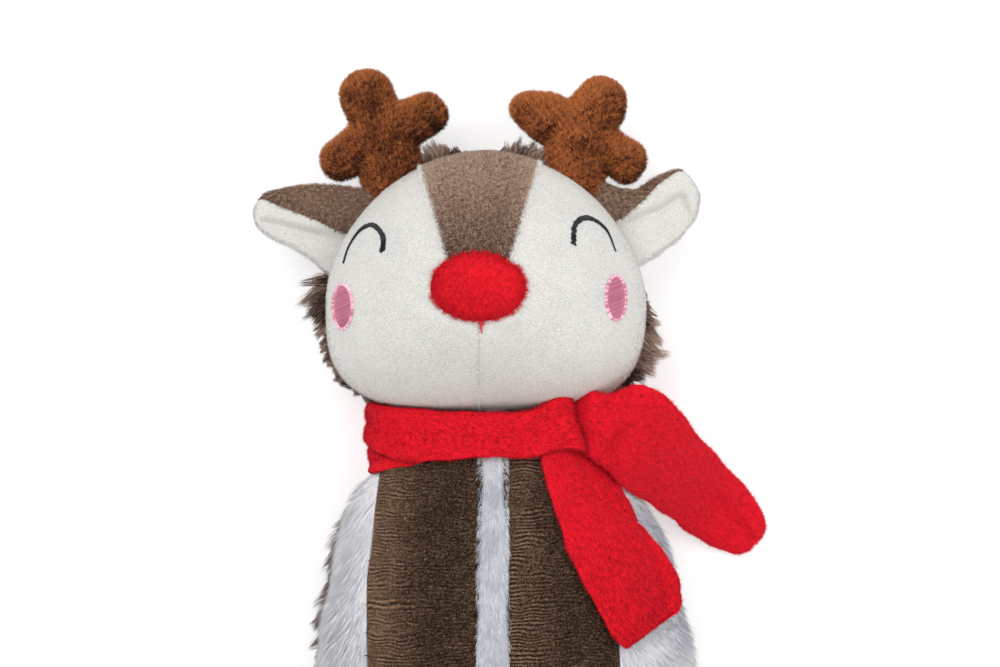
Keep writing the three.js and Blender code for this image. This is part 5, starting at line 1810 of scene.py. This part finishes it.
def make_antler(name, turn, side, level, cloth, nap):
    root = root_on_head(turn * DEGREE, ANTLER_DROP)
    form = antler_form(name, root, side)
    body = "antler_" + name
    bend = ("head", root - [0, ANTLER_BEND_BELOW, 0], root + [0, ANTLER_BEND_ABOVE, 0])
    on = dict(body=body, slot="rust_plush", bend=bend)

    # Painted light: the pile is drawn lighter on faces turned up and to the viewer's left, and lighter where
    # it turns edge-on, a painted sheen at the rims; the patches are random.
    def lit_from_above(points, normals):
        x, y, z = normals.T
        return level + 0.15 * (1 - np.abs(z)) + 0.5 * y - 0.2 * x + lumps(points, "antler_patch")

    for part, half in (("front", in_front_of(root[2])), ("back", behind(root[2]))):
        ply = form.clip(half)
        add_piece(f"antler_{part}_{name}", ply.shell(ANTLER_FABRIC), cloth,
                  replaces=[f"antler_{name}_{part}"], **on)
        add_pile(f"antler_{part}_nap_{name}", ply, nap, lambda p: p - root + [0, ANTLER_NAP_DROP, 0],
                 tint=lit_from_above, **PILES["antler_nap"], **on)
    core = form.moved(-ANTLER_FABRIC - SEAM_GAP)
    piece = add_piece(f"antler_core_{name}", core, fibre, body, "stuffing", [f"antler_{name}_stuffing"],
                      bend=bend)


def make_antlers():
    cloth, nap = cloth_of("antler_cloth"), shades_of("antler_nap")
    for name, (turn, side, level) in ANTLER_PLACES.items():
        make_antler(name, turn, side, level, cloth, nap)


# Legs

LEG_WIDTH_SHARES = [(0, 0.96), (0.3, 0.95), (0.6, 0.97), (0.85, 1), (1, 1)]
LEG_DIP = 0.6
LEG_BEND_ABOVE = 8
LEG_BEND_BELOW = 14


def leg_form(side, grow, rows, columns):
    whole = LEG_LENGTH + LEG_BURY
    top = TORSO_TOP - TORSO_LENGTH + LEG_BURY
    share = (0.5 - 0.5 * np.cos(np.linspace(0, np.pi, rows + 2)[1:-1]))[:, None]
    opened = end_round((1 - share) / LEG_END_SHARE, END_POWER) * end_round(share / LEG_END_SHARE, END_POWER)
    half = LEG_WIDTH / 2 * read_table(LEG_WIDTH_SHARES, share) * opened + grow
    deep = LEG_DEPTH / 2 * np.sqrt(opened) + grow
    turn = even_angles(columns, lambda t: super_point(t, LEG_POWER))[None, :]
    across, up = super_point(turn, LEG_POWER)
    x = STRIP_X + side * LEG_SPREAD + across * half
    y = top + grow - (whole + 2 * grow) * share + 0 * across
    return capped(np.stack([x, y, LEG_DEPTH / 2 - FLOOR_SINK + up * deep], -1)).above(0)


def make_legs():
    cloth, nap, brown = cloth_of("leg_cloth"), shades_of("leg_nap"), shades_of("leg_fur")
    seam_z = LEG_DEPTH / 2
    fold_y = TORSO_TOP - TORSO_LENGTH
    for side, name in SIDES:
        body = "leg_" + name
        form = leg_form(side, 0, 110, 130)
        form = form.moved(lumps(form.points, "leg", body) * (form.points[:, 2] > LOW_EDGE))
        x = STRIP_X + side * LEG_SPREAD
        bend = ("torso", (x, fold_y + LEG_BEND_ABOVE, seam_z), (x, fold_y - LEG_BEND_BELOW, seam_z))
        front, _ = panel_of(form, [in_front_of(seam_z)], LEG_DIP)
        back, _ = panel_of(form, [behind(seam_z)])
        on = dict(body=body, slot="chest_plush", bend=bend)
        add_piece(f"leg_top_{name}", front.shell(FABRIC), cloth, replaces=[f"leg_{name}_front"], **on)
        # The nap's tint is painted light: lighter where the leg turns away from the viewer, a painted sheen,
        # and lighter on the crests of its ribs.
        add_pile(f"leg_nap_{name}", front, nap, (0, -1, 0),
                 weight=lambda p: 0.2 + np.maximum(0, rib_crest(p)),
                 tint=lambda p, n: -0.2 + 0.3 * (1 - n[:, 2]) + 0.1 * rib_crest(p), **PILES["leg_nap"], **on)
        on = dict(body=body, slot="brown_fur", bend=bend)
        add_piece(f"leg_under_{name}", back.shell(FABRIC), hide, replaces=[f"leg_{name}_back"], **on)
        add_fur(f"leg_fur_{name}", back, brown, (side * 0.2, -1, 0),
                weight=lambda p: 0.4 + ramp(p[:, 2], "leg_fur_z"), **FURS["leg_fur"], **on)
        core = leg_form(side, CORE_GROW, 30, 48)
        piece = add_piece(f"leg_core_{name}", core, fibre, body, "stuffing", [f"leg_{name}_stuffing"],
                          bend=bend)


# Neck

NECK_FROM_SHARE = 0.13
NECK_TO_SHARE = -0.045
NECK_SLACK = 5.5
NECK_RISE = 6
NECK_FABRIC = 1.6
NECK_BEND_BELOW = 12
NECK_BEND_ABOVE = 4


def make_neck():
    """The cloth between the torso and the head, a tube that lies a little inside the torso's skin."""
    share = np.linspace(NECK_FROM_SHARE, NECK_TO_SHARE, 26)[:, None]
    angle = even_angles(120, torso_outline)[None, :]
    rows = torso_points(np.maximum(share, NECK_END_SHARE), angle, -NECK_SLACK)
    rows[..., 1] = TORSO_TOP - TORSO_LENGTH * share
    rows[..., 2] += NECK_RISE * ease(-share, 0, 0.05)
    tube = grid(rows, close_columns=True)
    middle = tube.points.mean(0)
    if ((tube.points - middle) * tube.normals()).sum() < 0:
        tube = Surface(tube.points, tube.tris[:, ::-1])
    bend = ("torso", (0, TORSO_TOP - NECK_BEND_BELOW, HEAD_Z), (0, TORSO_TOP + NECK_BEND_ABOVE, HEAD_Z))
    add_piece("neck_sleeve", tube.shell(NECK_FABRIC), hide, "head", "brown_fur", bend=bend)


# Studio, in metres

FLOOR_REACH = 4
FLOOR_Z = -0.0003
LAMP_AIM = (0, 0.06, 0.03)
CAMERA_PLACE = (0.004, 0.1226, 1.55)
LENS_MM = 135
SENSOR_MM = 36
ROOM_LIGHT = 0.82
FLOOR_GLOW = 0.5
FLOOR_WHITE = 0.6

# Where each lamp hangs, how wide it is and how strong
LAMPS = {"key": ((-0.6, 0.7, 1.6), 1.1, 12), "fill": ((0.8, 0.1, 1.4), 1.2, 8)}


def make_floor():
    mesh = bpy.data.meshes.new("floor")
    corners = ((-1, -1), (1, -1), (1, 1), (-1, 1))
    mesh.from_pydata([(x * FLOOR_REACH, y * FLOOR_REACH, FLOOR_Z) for x, y in corners], [], [(0, 1, 2, 3)])
    floor = bpy.data.objects.new("floor", mesh)
    white = finish_of("floor", np.full(3, FLOOR_WHITE), roughness=0.8, sheen=0)
    inputs = white.node_tree.nodes["Principled BSDF"].inputs
    inputs["Emission Color"].default_value = (1, 1, 1, 1)
    inputs["Emission Strength"].default_value = FLOOR_GLOW
    mesh.materials.append(white)
    bpy.context.scene.collection.objects.link(floor)


def hang_lamps():
    for name, (place, size, power) in LAMPS.items():
        light = bpy.data.lights.new(name, "AREA")
        light.shape = "DISK"
        light.size = size
        light.energy = power
        lamp = bpy.data.objects.new(name, light)
        lamp.location = place
        lamp.rotation_euler = (Vector(place) - Vector(LAMP_AIM)).to_track_quat("Z", "Y").to_euler()
        bpy.context.scene.collection.objects.link(lamp)


def make_studio():
    """A white room, two lamps, and a camera that looks straight down."""
    scene = bpy.context.scene
    world = bpy.data.worlds.new("studio")
    scene.world = world
    world.use_nodes = True
    world.node_tree.nodes["Background"].inputs["Color"].default_value = (1, 1, 1, 1)
    world.node_tree.nodes["Background"].inputs["Strength"].default_value = ROOM_LIGHT
    make_floor()
    hang_lamps()
    camera = bpy.data.cameras.new("camera")
    camera.lens = LENS_MM
    camera.sensor_width = SENSOR_MM
    holder = bpy.data.objects.new("camera", camera)
    holder.location = CAMERA_PLACE
    scene.collection.objects.link(holder)
    bpy.context.scene.camera = holder
    scene.view_settings.view_transform = "Standard"


make_studio()
fibre = cloth_of("fibre")
hide = cloth_of("hide")
make_head()
make_torso()
make_neck()
make_scarf()
make_ears()
make_antlers()
make_legs()
